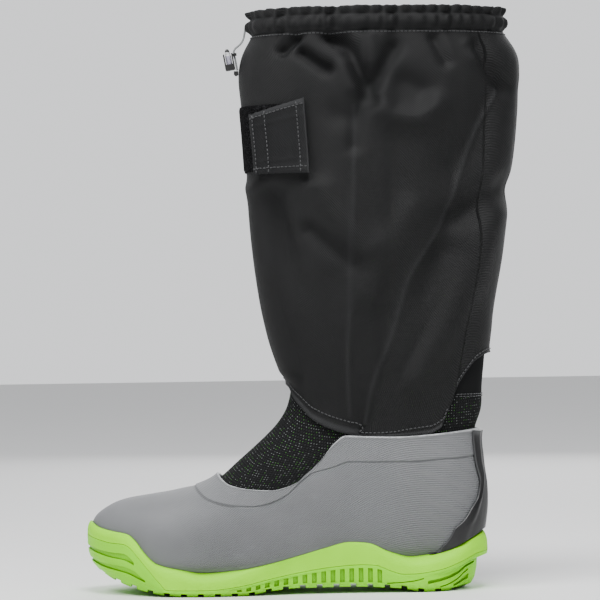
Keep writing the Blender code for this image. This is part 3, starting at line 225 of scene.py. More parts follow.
# Lines seen from the side: a station along the sole and a height, as a share
# of the size named beside each table.
FEATHER_LINE = (
    # station, share of RAND_HEIGHT
    (0.010, 0.822), (0.020, 0.794), (0.077, 0.634), (0.151, 0.516), (0.195, 0.492),
    (0.248, 0.566), (0.302, 0.693), (0.346, 0.710), (0.407, 0.634), (0.468, 0.542),
    (0.542, 0.439), (0.615, 0.363), (0.706, 0.329), (0.762, 0.374), (0.818, 0.449),
    (0.847, 0.589), (0.871, 0.768), (0.890, 0.852), (0.931, 0.890), (0.963, 0.927),
    (0.985, 0.990),
)
PARTING_LINE = (
    # station, share of RAND_HEIGHT
    (0.000, 0.530), (0.023, 0.514), (0.077, 0.394), (0.126, 0.303), (0.195, 0.254),
    (0.215, 0.254), (0.244, 0.299), (0.285, 0.385), (0.322, 0.394), (0.395, 0.366),
    (0.469, 0.305), (0.542, 0.228), (0.616, 0.136), (0.690, 0.092), (0.760, 0.090),
    (0.797, 0.098), (0.811, 0.180), (0.859, 0.495), (0.888, 0.677), (0.903, 0.720),
    (0.932, 0.729), (0.968, 0.766), (0.997, 0.809),
)
TREAD_LINE = (
    # station, share of TOE_SPRING, share of ARCH_RISE
    (0.060, 0.00, 0.00), (0.153, 0.00, 0.00), (0.226, 0.00, 0.64), (0.346, 0.00, 1.00),
    (0.468, 0.00, 0.96), (0.542, 0.00, 0.56), (0.608, 0.00, 0.00), (0.748, 0.00, 0.00),
    (0.797, 0.05, 0.00), (0.837, 0.15, 0.00), (0.884, 0.35, 0.00), (0.945, 0.70, 0.00),
    (0.977, 1.00, 0.00), (1.000, 1.35, 0.00),
)
FOOTBED_LINE = (
    # station, share of HEEL_STACK
    (0.000, 1.15), (0.060, 1.02), (0.130, 1.00), (0.350, 0.92), (0.500, 0.76),
    (0.640, 0.65), (0.760, 0.67), (0.840, 0.80), (0.900, 1.00), (0.950, 1.22),
    (1.000, 1.45),
)
COLLAR_LINE = (
    # station, share of COLLAR_HEIGHT
    (-0.200, 1.035), (0.027, 1.027), (0.121, 1.008), (0.219, 0.993), (0.292, 0.996),
    (0.353, 1.003), (0.378, 0.960), (0.421, 0.822), (0.453, 0.741), (0.503, 0.678),
    (0.534, 0.662), (0.589, 0.670), (0.638, 0.697), (0.669, 0.762), (0.700, 0.900),
    (0.760, 1.200),
)
HEM_LINE = (
    # station, level of the gaiter's lower edge
    (-0.150, 1.204), (-0.010, 1.200), (0.024, 1.183), (0.049, 1.154), (0.071, 1.122),
    (0.094, 1.073), (0.117, 1.017), (0.180, 0.985), (0.300, 0.985), (0.353, 1.006),
    (0.385, 1.016), (0.414, 1.029), (0.439, 1.044), (0.463, 1.071), (0.482, 1.096),
    (0.492, 1.121), (0.510, 1.133), (0.600, 1.145),
)
COUNTER_EDGE = (
    # share of the way up, station, level
    (0.00, 0.148, 0.238), (0.12, 0.116, 0.294), (0.25, 0.086, 0.402), (0.40, 0.048, 0.516),
    (0.52, 0.029, 0.600), (0.65, 0.024, 0.690), (0.80, 0.034, 0.800), (0.92, 0.039, 0.910),
    (1.00, 0.039, 1.010),
)
COUNTER_RIBS = (
    # share of the way from the edge to the centre back, share of COUNTER_RIB
    (0.00, 0.00), (0.13, 0.30), (0.27, 0.60), (0.42, 1.00), (0.56, 0.10), (0.70, 0.25),
    (0.85, 1.00), (1.00, 0.60),
)

# How far the sole's side lies inside its outline, as shares of the inset
# named in the column's heading, going up from the tread to the parting line.
TOE_INSET = 0.0130
SIDE_INSET = 0.0030
HEEL_INSET = 0.0200
OUTSOLE_PROFILE = (
    # share of the height, toe, side, heel
    (0.00, 1.00, 1.00, 1.00),
    (0.12, 0.62, 0.42, 0.64),
    (0.30, 0.27, 0.12, 0.50),
    (0.55, 0.07, 0.02, 0.43),
    (0.78, 0.01, 0.00, 0.41),
    (0.90, 0.00, 0.00, 0.03),
    (1.00, 0.00, 0.05, 0.00),
)
MIDSOLE_PROFILE = (
    # share of the height, blend from the outline to the lip
    (0.00, 0.00),
    (0.45, 0.10),
    (0.85, 0.55),
    (1.00, 1.00),
)

# Relief in the outsole's side. Stations along it, then the lower and upper
# edges as shares of its height there.
TOE_GROOVES = (
    # station, lower_1, upper_1, lower_2, upper_2
    (1.000, 0.360, 0.450, 0.660, 0.745),
    (0.970, 0.350, 0.450, 0.655, 0.760),
    (0.930, 0.355, 0.480, 0.650, 0.780),
    (0.895, 0.340, 0.480, 0.640, 0.790),
    (0.872, 0.345, 0.500, 0.660, 0.720),
    (0.845, 0.400, 0.440, None, None),
)
HEEL_GROOVES = (
    # front_station, front_share, back_station, back_share, width_front, width_back
    (0.155, 0.50, 0.012, 0.72, 0.16, 0.05),
    (0.256, 0.24, 0.165, 0.72, 0.07, 0.06),
    (0.125, 0.22, 0.030, 0.56, 0.05, 0.05),
    (0.085, 0.22, 0.026, 0.36, 0.10, 0.14),
)
ARCH_PANEL = (0.262, 0.640)

# The closure flap's corners, seen from the outer side: top front, top back,
# bottom back and bottom front.
FLAP_CORNERS = (
    # station, level
    (0.569, 1.799),
    (0.440, 1.834),
    (0.428, 1.650),
    (0.557, 1.652),
)
PATCH_REACH = (11, 9)


class Side(Enum):
    """Which side of the boot a fold is on."""

    OUTER = 1
    INNER = -1
    BOTH = 0


@dataclass(frozen=True)
class Fold:
    """A soft trough in cloth or rubber, or a ridge where depth is below 0.

    points are stations along the sole and levels up the upper, depth and
    width are shares of the piece's own fold sizes.
    """

    points: tuple[tuple[float, float], ...]
    depth: float
    width: float
    side: Side = Side.OUTER


GAITER_FOLDS = (
    Fold(((0.459, 1.986), (0.496, 1.952)), 1.0, 0.30),
    Fold(((0.448, 1.947), (0.418, 1.925), (0.387, 1.904)), 1.1, 0.34),
    Fold(((0.378, 1.985), (0.338, 1.961), (0.317, 1.914), (0.295, 1.866), (0.274, 1.826)),
         1.2, 0.42),
    Fold(((0.221, 1.956), (0.241, 1.920), (0.269, 1.870)), 0.9, 0.45),
    Fold(((0.195, 1.869), (0.152, 1.848)), 0.6, 0.70),
    Fold(((0.121, 1.976), (0.092, 1.918)), 0.6, 0.35),
    Fold(((0.017, 1.957), (-0.022, 1.902), (-0.061, 1.860)), 0.9, 0.50),
    Fold(((0.413, 1.799), (0.344, 1.787)), 0.5, 0.70),
    Fold(((0.301, 1.823), (0.316, 1.765), (0.320, 1.715)), 0.6, 0.40),
    Fold(((0.261, 1.830), (0.225, 1.786), (0.168, 1.778), (0.124, 1.806)), -0.9, 0.70),
    Fold(((0.280, 1.975), (0.267, 1.924)), -0.5, 0.50),
    Fold(((0.339, 1.911), (0.325, 1.860)), -0.5, 0.45),
    Fold(((-0.025, 1.847), (0.016, 1.746), (0.075, 1.667)), 0.7, 1.20),
    Fold(((0.532, 1.580), (0.498, 1.442), (0.456, 1.311), (0.400, 1.172), (0.362, 1.063)),
         1.2, 0.90),
    Fold(((0.571, 1.617), (0.548, 1.457), (0.518, 1.268), (0.495, 1.166)), -0.6, 0.80),
    Fold(((0.408, 1.622), (0.352, 1.541), (0.295, 1.468)), -0.8, 0.80),
    Fold(((0.435, 1.510), (0.385, 1.465), (0.332, 1.425)), 0.6, 0.50),
    Fold(((0.107, 1.450), (0.152, 1.350), (0.212, 1.234), (0.245, 1.162)), 1.0, 0.90),
    Fold(((-0.017, 1.550), (0.036, 1.399), (0.103, 1.269), (0.177, 1.140)), -0.8, 1.00),
    Fold(((-0.054, 1.607), (0.012, 1.565), (0.084, 1.530)), 0.9, 0.80),
    Fold(((0.263, 1.155), (0.280, 1.040)), 0.6, 0.50),
    Fold(((0.185, 1.553), (0.245, 1.452), (0.289, 1.352)), -0.6, 0.90),
    Fold(((0.376, 1.382), (0.363, 1.266), (0.354, 1.164)), 0.5, 0.70),
    Fold(((0.035, 1.964), (0.021, 1.928)), -0.5, 0.35),
    Fold(((0.480, 1.980), (0.420, 1.900), (0.350, 1.830)), 1.1, 0.60, Side.INNER),
    Fold(((0.120, 1.960), (0.180, 1.880), (0.290, 1.760)), 1.0, 0.80, Side.INNER),
    Fold(((0.330, 1.960), (0.300, 1.880)), 0.8, 0.45, Side.INNER),
    Fold(((0.000, 1.650), (0.110, 1.560), (0.260, 1.440)), 0.9, 1.00, Side.INNER),
    Fold(((0.500, 1.560), (0.430, 1.400), (0.340, 1.240)), 0.9, 0.90, Side.INNER),
    Fold(((0.050, 1.450), (0.130, 1.300), (0.230, 1.150)), -0.7, 1.00, Side.INNER),
    Fold(((0.540, 1.740), (0.470, 1.690)), -0.5, 0.70, Side.INNER),
)
GAITER_SEAMS = (
    Fold(((-0.045, 1.850), (0.016, 1.750), (0.116, 1.508), (0.196, 1.382), (0.222, 1.293),
          (0.249, 1.213), (0.272, 1.160), (0.292, 1.092), (0.303, 1.030)), -1.0, 1.0),
    Fold(((0.321, 1.813), (0.322, 1.706), (0.333, 1.458), (0.338, 1.294), (0.344, 1.214),
          (0.342, 1.050)), -0.8, 0.9),
)
SHELL_CREASES = (
    Fold(((0.700, 0.660), (0.640, 0.560), (0.600, 0.400)), 0.8, 0.8, Side.BOTH),
    Fold(((0.760, 0.600), (0.720, 0.480), (0.690, 0.330)), -0.6, 0.9, Side.BOTH),
    Fold(((0.640, 0.640), (0.560, 0.500), (0.520, 0.380)), -0.5, 0.9, Side.BOTH),
    Fold(((0.560, 0.560), (0.480, 0.500), (0.420, 0.480)), 0.5, 0.9, Side.BOTH),
)


def through(a: Array, b: Array, c: Array, d: Array, t: Array | float) -> Array:
    """Go smoothly from b to c, with a before them and d after.

    Args:
        a: The point before.
        b: The first point.
        c: The second point.
        d: The point after.
        t: Share of the way from b to c.

    Returns:
        The place there.
    """
    return b + t / 2 * (c - a + t * (2 * a - 5 * b + 4 * c - d + t * (3 * (b - c) + d - a)))


class Curve:
    """A smooth line through a table's rows that never overshoots them."""

    def __init__(self, places: Sequence[float], values: Sequence[float]) -> None:
        """Work out the line's slopes.

        Args:
            places: Where the rows lie, rising.
            values: The rows' values.
        """
        self.x = np.asarray(places, float)
        self.y = np.asarray(values, float)
        run = np.diff(self.x)
        rise = np.diff(self.y) / run
        self.slope = np.zeros_like(self.y)
        self.slope[0], self.slope[-1] = rise[0], rise[-1]
        for k in range(1, len(self.x) - 1):
            if rise[k - 1] * rise[k] > 0:
                before = 2 * run[k] + run[k - 1]
                after = run[k] + 2 * run[k - 1]
                self.slope[k] = (before + after) / (before / rise[k - 1] + after / rise[k])

    def __call__(self, place: Array | float) -> Array:
        """Return the line's values at places.

        Args:
            place: Places, held within the table's ends.

        Returns:
            The line's values there.
        """
        at = np.clip(np.asarray(place, float), self.x[0], self.x[-1])
        k = np.clip(np.searchsorted(self.x, at) - 1, 0, len(self.x) - 2)
        run = self.x[k + 1] - self.x[k]
        t = (at - self.x[k]) / run
        start = (1 + 2 * t) * (1 - t) ** 2 * self.y[k] + t * (1 - t) ** 2 * run * self.slope[k]
        end = t * t * (3 - 2 * t) * self.y[k + 1] + t * t * (t - 1) * run * self.slope[k + 1]
        return start + end


def dense(values: Sequence[Sequence[float]], count: int) -> Array:
    """Resample a table's rows to a count, smoothly.

    Args:
        values: The table.
        count: How many rows to make.

    Returns:
        The new rows.
    """
    table = np.asarray(values, float)
    spots = np.linspace(0, len(table) - 1, count)
    return np.stack([Curve(range(len(table)), table[:, j])(spots)
                     for j in range(table.shape[1])], axis=1)


def smooth(t: Array | float) -> Array:
    """Go from 0 to 1 with level ends."""
    t = np.clip(t, 0.0, 1.0)
    return t * t * (3 - 2 * t)


def along_at(station: Array | float) -> Array | float:
    """Distance in front of the origin of a station along the sole."""
    return station * SOLE_LENGTH - HEEL_OVERHANG


def station_at(along: Array | float) -> Array:
    """Station along the sole of a distance in front of the origin."""
    return (np.asarray(along) + HEEL_OVERHANG) / SOLE_LENGTH


def height_at(level: Array | float) -> Array:
    """Height of a level: 0 the floor, 1 the collar, 2 the seam under the hem."""
    low = np.clip(level, 0.0, 1.0) * COLLAR_HEIGHT
    return low + np.maximum(np.asarray(level) - 1.0, 0.0) * (SEAM_HEIGHT - COLLAR_HEIGHT)


def girth_at(station: Array | float) -> Array:
    """Width that the shares across follow: the heel's, then the ball's."""
    return HEEL_WIDTH + (BALL_WIDTH - HEEL_WIDTH) * smooth((np.asarray(station) - 0.30) / 0.32)


def place(along: Array, across: Array, up: Array) -> Array:
    """Points from their distances forwards, to the outer side and up."""
    return np.stack([across, -np.asarray(along), up], axis=-1)


def side_line(table: Sequence[tuple[float, float]], size: float) -> Callable[[Array], Array]:
    """Make a height over the distance forwards from a table of shares.

    Args:
        table: Rows of station and share.
        size: The size that the shares are of.

    Returns:
        A function from distance forwards to height.
    """
    stations, shares = zip(*table)
    line = Curve(stations, np.asarray(shares) * size)
    return lambda along: line(station_at(along))


feather_height = side_line(FEATHER_LINE, RAND_HEIGHT)
parting_height = side_line(PARTING_LINE, RAND_HEIGHT)
footbed_height = side_line(FOOTBED_LINE, HEEL_STACK)
collar_height = side_line(COLLAR_LINE, COLLAR_HEIGHT)
tread_curve = Curve([row[0] for row in TREAD_LINE],
                    [row[1] * TOE_SPRING + row[2] * ARCH_RISE for row in TREAD_LINE])
hem_curve = Curve([row[0] for row in HEM_LINE], height_at([row[1] for row in HEM_LINE]))


def tread_height(along: Array) -> Array:
    """Height of the outsole's lower face."""
    return tread_curve(station_at(along))


def seat_height(along: Array) -> Array:
    """Top of the outsole under the midsole's floor, always below its edge."""
    floor = footbed_height(along) - FLOOR_WALL - GAP
    return np.minimum(floor, parting_height(along) - SEAT_DROP)


def hem_height(along: Array) -> Array:
    """Lower edge of the gaiter: it stands on the shell's edge along the side."""
    return np.maximum(hem_curve(station_at(along)), collar_height(along) + GAP)


def section_rows() -> Array:
    """The last's sections in metres, one row each.

    Returns:
        Rows of the top's and the back's places, shift, half width, waist and roundness.
    """
    rows = []
    for row in FOOT_SECTIONS:
        top_station, top_level, back_station, back_level, shift, half, waist, top, back = row
        girth = float(girth_at((top_station + back_station) / 2))
        back_along = along_at(back_station)
        back_up = footbed_height(back_along) if back_level is None else height_at(back_level)
        rows.append([along_at(top_station), height_at(top_level), back_along, back_up,
                     shift * girth, half * girth, waist, top, back])
    for front_level, back_level, centre, depth, width, waist in SHAFT_SECTIONS:
        reach = (ANKLE_DEPTH + (SHAFT_DEPTH - ANKLE_DEPTH) * depth) / 2
        half = (ANKLE_WIDTH + (SHAFT_WIDTH - ANKLE_WIDTH) * width) / 2
        middle = along_at(centre)
        rows.append([middle + reach, height_at(front_level), middle - reach,
                     height_at(back_level), 0.0, half, waist, SHAFT_ROUND, SHAFT_ROUND])
    return np.array(rows, float)


class Last:
    """The upper's outer surface over a plane whose origin is the toe tip.

    The distance from that origin counts the sections, and the angle goes from
    0 at the front or top line to half a turn at the bottom or back line.
    """

    def __init__(self) -> None:
        """Take the sections, with one more row at each end."""
        rows = section_rows()
        mirrored = rows[1].copy()
        mirrored[0:2], mirrored[2:4] = rows[1][2:4], rows[1][0:2]
        mirrored[5] = -rows[1][5]
        self.rows = np.vstack([mirrored, rows, 2 * rows[-1] - rows[-2]])
        self.count = len(rows)

    def sections(self, number: Array) -> Array:
        """Rows of the sections at fractional numbers.

        Args:
            number: Section numbers.

        Returns:
            A row for each, on smooth lines through the sections.
        """
        number = np.clip(number, 0.0, self.count - 1.0)
        k = np.minimum(number.astype(int), self.count - 2)
        t = (number - k)[..., None]
        a, b, c, d = (self.rows[k + j] for j in range(4))
        return through(a, b, c, d, t)

    def raw(self, p: Array, q: Array) -> Array:
        """Points of the surface itself.

        Args:
            p: First coordinates in the last's plane.
            q: Second coordinates, above 0 on the outer side.

        Returns:
            The points.
        """
        p, q = np.broadcast_arrays(np.asarray(p, float), np.asarray(q, float))
        angle = np.arctan2(q, p)
        row = self.sections(np.hypot(p, q))
        top, back = row[..., 0:2], row[..., 2:4]
        shift, half, waist, round_top, round_back = (row[..., j] for j in range(4, 9))
        power = np.where(np.cos(angle) >= 0, round_top, round_back)
        c, w = np.cos(angle), np.sin(angle)
        reach = (np.abs(c) ** power + np.abs(w) ** power) ** (-1 / power)
        c, w = c * reach, w * reach
        middle = back + (top - back) * waist[..., None]
        arm = np.where((c >= 0)[..., None], top - middle, middle - back)
        side = middle + arm * c[..., None]
        return np.stack([shift + half * w, -side[..., 0], side[..., 1]], axis=-1)

    def normal(self, p: Array, q: Array) -> Array:
        """Outward unit normals.

        Args:
            p: First coordinates in the last's plane.
            q: Second coordinates, above 0 on the outer side.

        Returns:
            A normal for each place.
        """
        step = NORMAL_STEP
        du = self.raw(p + step, q) - self.raw(p - step, q)
        dv = self.raw(p, q + step) - self.raw(p, q - step)
        n = np.cross(dv, du)
        return n / np.maximum(np.linalg.norm(n, axis=-1, keepdims=True), 1e-12)

    def at(self, p: Array, q: Array, offset: Array | float = 0.0) -> Array:
        """Points on the surface, moved outwards by the offset."""
        return self.raw(p, q) + self.normal(p, q) * np.asarray(offset, float)[..., None]

    def side(self, p: Array, q: Array) -> tuple[Array, Array]:
        """Distances forwards and up of points, as the side view shows them."""
        point = self.raw(p, q)
        return -point[..., 1], point[..., 2]

    def locate(self, along: float, up: float, section: float, angle: float) -> tuple[float, float]:
        """Find where a point of the side view lies on the outer side.

        Args:
            along: Distance forwards.
            up: Height.
            section: Section number to start from.
            angle: Angle to start from.

        Returns:
            The point's place in the surface's plane.
        """
        s, a, step = section, angle, SEARCH_STEP
        for _ in range(SEARCH_ROUNDS):
            x, z = self.side(s * math.cos(a), s * math.sin(a))
            xs, zs = self.side((s + step) * math.cos(a), (s + step) * math.sin(a))
            xa, za = self.side(s * math.cos(a + step), s * math.sin(a + step))
            m = np.array([[xs - x, xa - x], [zs - z, za - z]]) / step
            move = np.linalg.lstsq(m, np.array([along - x, up - z]), rcond=1e-6)[0]
            s = float(np.clip(s + np.clip(move[0], -1.0, 1.0), 0.5, SHAFT_TOP))
            a = float(np.clip(a + np.clip(move[1], -0.3, 0.3), 0.02, math.pi - 0.02))
        return s * math.cos(a), s * math.sin(a)


LAST = Last()


def spacing(count: int) -> Array:
    """Shares along a half loop, closer together at the toe and the heel."""
    u = np.linspace(0.0, 1.0, count + 1)
    return u - SPACING * np.sin(2 * np.pi * u) / (2 * np.pi)


def resample(points: Array, shares: Array, *arrays: Array) -> list[Array]:
    """Values of the arrays at shares of the length of a line of points.

    Args:
        points: The line.
        shares: Shares of its length.
        *arrays: Values at its points.

    Returns:
        The values of each array.
    """
    steps = np.linalg.norm(np.diff(points, axis=0), axis=1)
    length = np.concatenate([[0.0], np.cumsum(steps)])
    return [np.interp(shares, length / length[-1], values) for values in arrays]


class Loop:
    """A closed line on the last, the same on both sides of its middle."""

    def __init__(self, p: Array, q: Array) -> None:
        """Close a half line with its mirror image."""
        self.p = np.concatenate([p, p[-2:0:-1]])
        self.q = np.concatenate([q, -q[-2:0:-1]])

    def blend(self, other: Loop, share: Array | float) -> Loop:
        """A loop part of the way to another.

        Args:
            other: The other loop.
            share: Share of the way, for all points or each.

        Returns:
            The new loop.
        """
        mixed = object.__new__(Loop)
        share = np.asarray(share, float)
        mixed.p = self.p + (other.p - self.p) * share
        mixed.q = self.q + (other.q - self.q) * share
        return mixed

    def ring(self, offset: Array | float = 0.0) -> Array:
        """The loop's points, moved outwards by an offset."""
        return LAST.at(self.p, self.q, np.broadcast_to(offset, self.p.shape))


def edge_of(above: Callable[[Array, Array], Array], outside: float, inside: float) -> float:
    """Find the section where a level line meets the last's top or bottom line.

    Args:
        above: Height over the line at a section and an angle.
        outside: A section that the line doesn't cross.
        inside: A section that it crosses.

    Returns:
        The section at the edge between them.
    """
    for _ in range(HALVINGS):
        middle = (outside + inside) / 2
        if above(middle, 0.0) >= 0 and above(middle, math.pi) <= 0:
            inside = middle
        else:
            outside = middle
    return inside


def even_loop(p: Array, q: Array) -> Loop:
    """Make a loop from a half line, with its columns spread along its length.

    Args:
        p: First coordinates in the last's plane, from the front or top to the back.
        q: Second coordinates.

    Returns:
        The loop, whose ends lie on the last's middle.
    """
    p, q = resample(LAST.at(p, q), spacing(COLUMNS), p, q)
    q[0] = q[-1] = 0.0
    return Loop(p, q)


def level_loop(height: Callable[[Array], Array]) -> Loop:
    """Make the loop where the last crosses a line drawn in the side view.

    Args:
        height: The line's height over the distance forwards.

    Returns:
        The loop.
    """

    def above(s: Array, angle: Array) -> Array:
        along, up = LAST.side(s * np.cos(angle), s * np.sin(angle))
        return up - height(along)

    scan = np.linspace(0.02, SHAFT_TOP, SCAN_STEPS)
    crossed = (above(scan, 0.0) >= 0) & (above(scan, math.pi) <= 0)
    first, final = np.flatnonzero(crossed)[[0, -1]]
    start = edge_of(above, scan[max(first - 1, 0)], scan[first])
    end = edge_of(above, scan[min(final + 1, len(scan) - 1)], scan[final])
    turn = np.linspace(0.0, math.pi, TURN_STEPS)
    s = start + (end - start) * (1 - np.cos(turn)) / 2
    low, high = np.zeros_like(s), np.full_like(s, math.pi)
    for _ in range(HALVINGS):
        middle = (low + high) / 2
        over = above(s, middle) >= 0
        low, high = np.where(over, middle, low), np.where(over, high, middle)
    angle = (low + high) / 2
    angle[0] = 0.0 if angle[1] < math.pi / 2 else math.pi
    angle[-1] = math.pi
    p, q = s * np.cos(angle), s * np.sin(angle)
    return even_loop(p, q)


def section_loop(number: float) -> Loop:
    """Make the loop of one section of the last.

    Args:
        number: The section's number.

    Returns:
        The loop.
    """
    angle = np.linspace(0.0, math.pi, TURN_STEPS)
    p, q = number * np.cos(angle), number * np.sin(angle)
    return even_loop(p, q)


def drop_loop(upper: Loop, lower: Loop, drop: float) -> Loop:
    """Make a loop that lies a given length of surface below another.

    Args:
        upper: The loop to start from.
        lower: A loop on the way down.
        drop: The length.

    Returns:
        The loop.
    """
    start, share = upper.ring(), np.full(upper.p.shape, 0.1)
    for _ in range(DROP_ROUNDS):
        reach = np.linalg.norm(upper.blend(lower, share).ring() - start, axis=1)
        share = share * np.clip(drop / np.maximum(reach, 1e-6), 0.3, 3.0)
    return upper.blend(lower, np.minimum(share, 0.9))


def hem_shares(collar: Loop, sock_top: Loop) -> Array:
    """How far up from the collar each column of the gaiter starts.

    Args:
        collar: The shell's edge.
        sock_top: The loop that the shares lead to.

    Returns:
        A share of the way for each column.
    """
    low, high = np.zeros(collar.p.shape), np.ones(collar.p.shape)
    for _ in range(HALVINGS):
        middle = (low + high) / 2
        at = collar.blend(sock_top, middle)
        along, up = LAST.side(at.p, at.q)
        under = up < hem_height(along)
        low, high = np.where(under, middle, low), np.where(under, high, middle)
    return high


FEATHER = level_loop(feather_height)
LOW = level_loop(lambda along: footbed_height(along) + CUP_ROOM)
COLLAR = level_loop(collar_height)
SOCK = section_loop(SOCK_TOP)
TOP = section_loop(SHAFT_TOP)
BAND = drop_loop(COLLAR, FEATHER, BAND_DROP)
BAND_FOOT = drop_loop(COLLAR, FEATHER, BAND_DROP + BAND_SLOPE)


def fold_move(points: Array, folds: Sequence[Fold], depth: float, width: float) -> Array:
    """How far folds move a surface at points on it.

    Args:
        points: Points on the boot.
        folds: The folds.
        depth: What their depths are shares of.
        width: What their widths are shares of.

    Returns:
        The move outwards, in metres.
    """
    along, up = -points[..., 1], points[..., 2]
    move = np.zeros(along.shape)
    for fold in folds:
        line = np.array([(along_at(s), float(height_at(level))) for s, level in fold.points])
        fine = dense(line, FOLD_STEPS)
        nearest = np.full(along.shape, np.inf)
        for start, end in zip(fine, fine[1:]):
            way = end - start
            t = ((along - start[0]) * way[0] + (up - start[1]) * way[1]) / (way @ way)
            t = np.clip(t, 0.0, 1.0)
            gap = np.hypot(along - start[0] - t * way[0], up - start[1] - t * way[1])
            nearest = np.minimum(nearest, gap)
        here = 1.0
        if fold.side is not Side.BOTH:
            here = smooth(0.5 + fold.side.value * points[..., 0] / (0.5 * SHAFT_WIDTH))
        move -= fold.depth * depth * here * np.exp(-(nearest / (fold.width * width)) ** 2)
    return move


def sole_outline() -> tuple[Array, Array]:
    """The sole's outline: forwards, to the outer side, and its normal.

    Returns:
        Points and outward normals, as distances forwards and to the outer side.
    """
    halves = []
    for column in (1, 2):
        side = 1 if column == 1 else -1
        rows = [(1.0, TOE_TIP * BALL_WIDTH)]
        for row in SOLE_OUTLINE:
            rows.append((row[0], side * row[column] * float(girth_at(row[0]))))
        rows.append((0.0, 0.0))
        halves.append([(along_at(station), across) for station, across in rows])
    points = np.array(halves[0] + halves[1][-2:0:-1])
    fine = []
    for k in range(len(points)):
        a, b, c, d = (points[(k + j - 1) % len(points)] for j in range(4))
        for t in np.linspace(0.0, 1.0, OUTLINE_STEPS, endpoint=False):
            fine.append(through(a, b, c, d, t))
    fine = np.array(fine)
    heel = (len(halves[0]) - 1) * OUTLINE_STEPS
    outer, inner = fine[:heel + 1], np.vstack([fine[heel:], fine[:1]])[::-1]
    loop = []
    for half in (outer, inner):
        loop.append(np.stack(resample(half, spacing(COLUMNS), half[:, 0], half[:, 1]), axis=1))
    line = np.vstack([loop[0], loop[1][-2:0:-1]])
    ahead = np.roll(line, -1, axis=0) - np.roll(line, 1, axis=0)
    normal = np.stack([-ahead[:, 1], ahead[:, 0]], axis=1)
    normal /= np.linalg.norm(normal, axis=1, keepdims=True)
    outward = np.sign(np.sum(normal * (line - line.mean(axis=0)), axis=1, keepdims=True))
    return line, normal * outward


OUTLINE, OUTWARD = sole_outline()
TOE_SHARE = smooth(OUTWARD[:, 0] / 0.85)
HEEL_SHARE = smooth(-OUTWARD[:, 0] / 0.85)


def outsole_inset(share: Array | float) -> Array:
    """How far the outsole's side lies inside the outline at a share of its height.

    Args:
        share: The share, for all points or each.

    Returns:
        The inset at each point of the outline.
    """
    heights = [row[0] for row in OUTSOLE_PROFILE]
    toe, side, heel = (np.interp(share, heights, [row[j] for row in OUTSOLE_PROFILE])
                       for j in (1, 2, 3))
    middle = 1 - TOE_SHARE - HEEL_SHARE
    return toe * TOE_INSET * TOE_SHARE + heel * HEEL_INSET * HEEL_SHARE + side * SIDE_INSET * middle


def outsole_ring(share: Array | float, out: float = 0.0) -> Array:
    """Points round the outsole's side at a share of its height.

    Args:
        share: The share, for all points or each.
        out: How far outside the side.

    Returns:
        The ring of points.
    """
    foot = OUTLINE - OUTWARD * outsole_inset(0.0)[:, None]
    low = tread_height(foot[:, 0])
    high = parting_height(OUTLINE[:, 0])
    plan = OUTLINE + OUTWARD * (out - outsole_inset(share))[:, None]
    return place(plan[:, 0], plan[:, 1], low + (high - low) * share)


def seat_rings(lift: float, push: float) -> list[Array]:
    """The step from the outsole's upper edge down to its seat.

    Args:
        lift: Height added as a gap.
        push: Inset added as a gap.

    Returns:
        Rings at the rim, the shelf and the seat.
    """
    rim_inset = RAND_SEAT + outsole_inset(1.0)
    under = np.maximum(outsole_inset(SPUR_FOOT) - outsole_inset(1.0), 0.0)
    shelf_inset = rim_inset + under + SHELF_WIDTH
    edge = parting_height(OUTLINE[:, 0])
    low = tread_height(OUTLINE[:, 0] - OUTWARD[:, 0] * outsole_inset(0.0))
    floor = seat_height(OUTLINE[:, 0] - OUTWARD[:, 0] * outsole_inset(0.0))
    skin = outsole_inset(np.clip((floor - low) / (edge - low), 0.0, 1.0))
    seat_inset = np.maximum(shelf_inset + SEAT_SLOPE, skin + 2 * RAND_SEAT)
    floor = seat_height(OUTLINE[:, 0] - OUTWARD[:, 0] * (seat_inset + push))
    shelf = edge + (floor - edge) * SHELF_SHARE
    rings = []
    for inset, up in ((rim_inset, edge), (shelf_inset, shelf), (seat_inset, floor)):
        plan = OUTLINE - OUTWARD * (inset + push)[:, None]
        rings.append(place(plan[:, 0], plan[:, 1], up + lift))
    return rings


def cap_across(bm: BMesh, row: list, height: Callable[[Array], Array],
               cells: int) -> None:
    """Close a ring round the sole with strips from the outer to the inner side.

    Args:
        bm: The mesh.
        row: The ring's vertices.
        height: The cap's height over the distance forwards.
        cells: Faces across.
    """
    count = len(row)
    strips = [[row[0]] * (cells + 1)]
    for k in range(1, count // 2):
        outer, inner = row[k], row[count - k]
        strip = [outer]
        for j in range(1, cells):
            point = outer.co.lerp(inner.co, j / cells)
            point.z = height(-point.y)
            strip.append(bm.verts.new(point))
        strips.append(strip + [inner])
    strips.append([row[count // 2]] * (cells + 1))
    for before, after in zip(strips, strips[1:]):
        for j in range(cells):
            corners = []
            for vert in (before[j], before[j + 1], after[j + 1], after[j]):
                if vert not in corners:
                    corners.append(vert)
            if len(corners) > 2:
                bm.faces.new(corners)


def skin_point(station: float, side: int, share: float, out: float) -> Array:
    """A point of the outsole's side from its station, side and height share.

    Args:
        station: Station along the sole.
        side: 1 for the outer side, -1 for the inner.
        share: Share of the height.
        out: How far outside the side.

    Returns:
        The point.
    """
    ring = outsole_ring(share, out)
    picks = np.arange(COLUMNS + 1)
    if side < 0:
        picks = np.concatenate([[0], np.arange(2 * COLUMNS - 1, COLUMNS - 1, -1)])
    along = OUTLINE[picks, 0][::-1]
    target = along_at(station)
    return np.array([np.interp(target, along, ring[picks, j][::-1]) for j in range(3)])


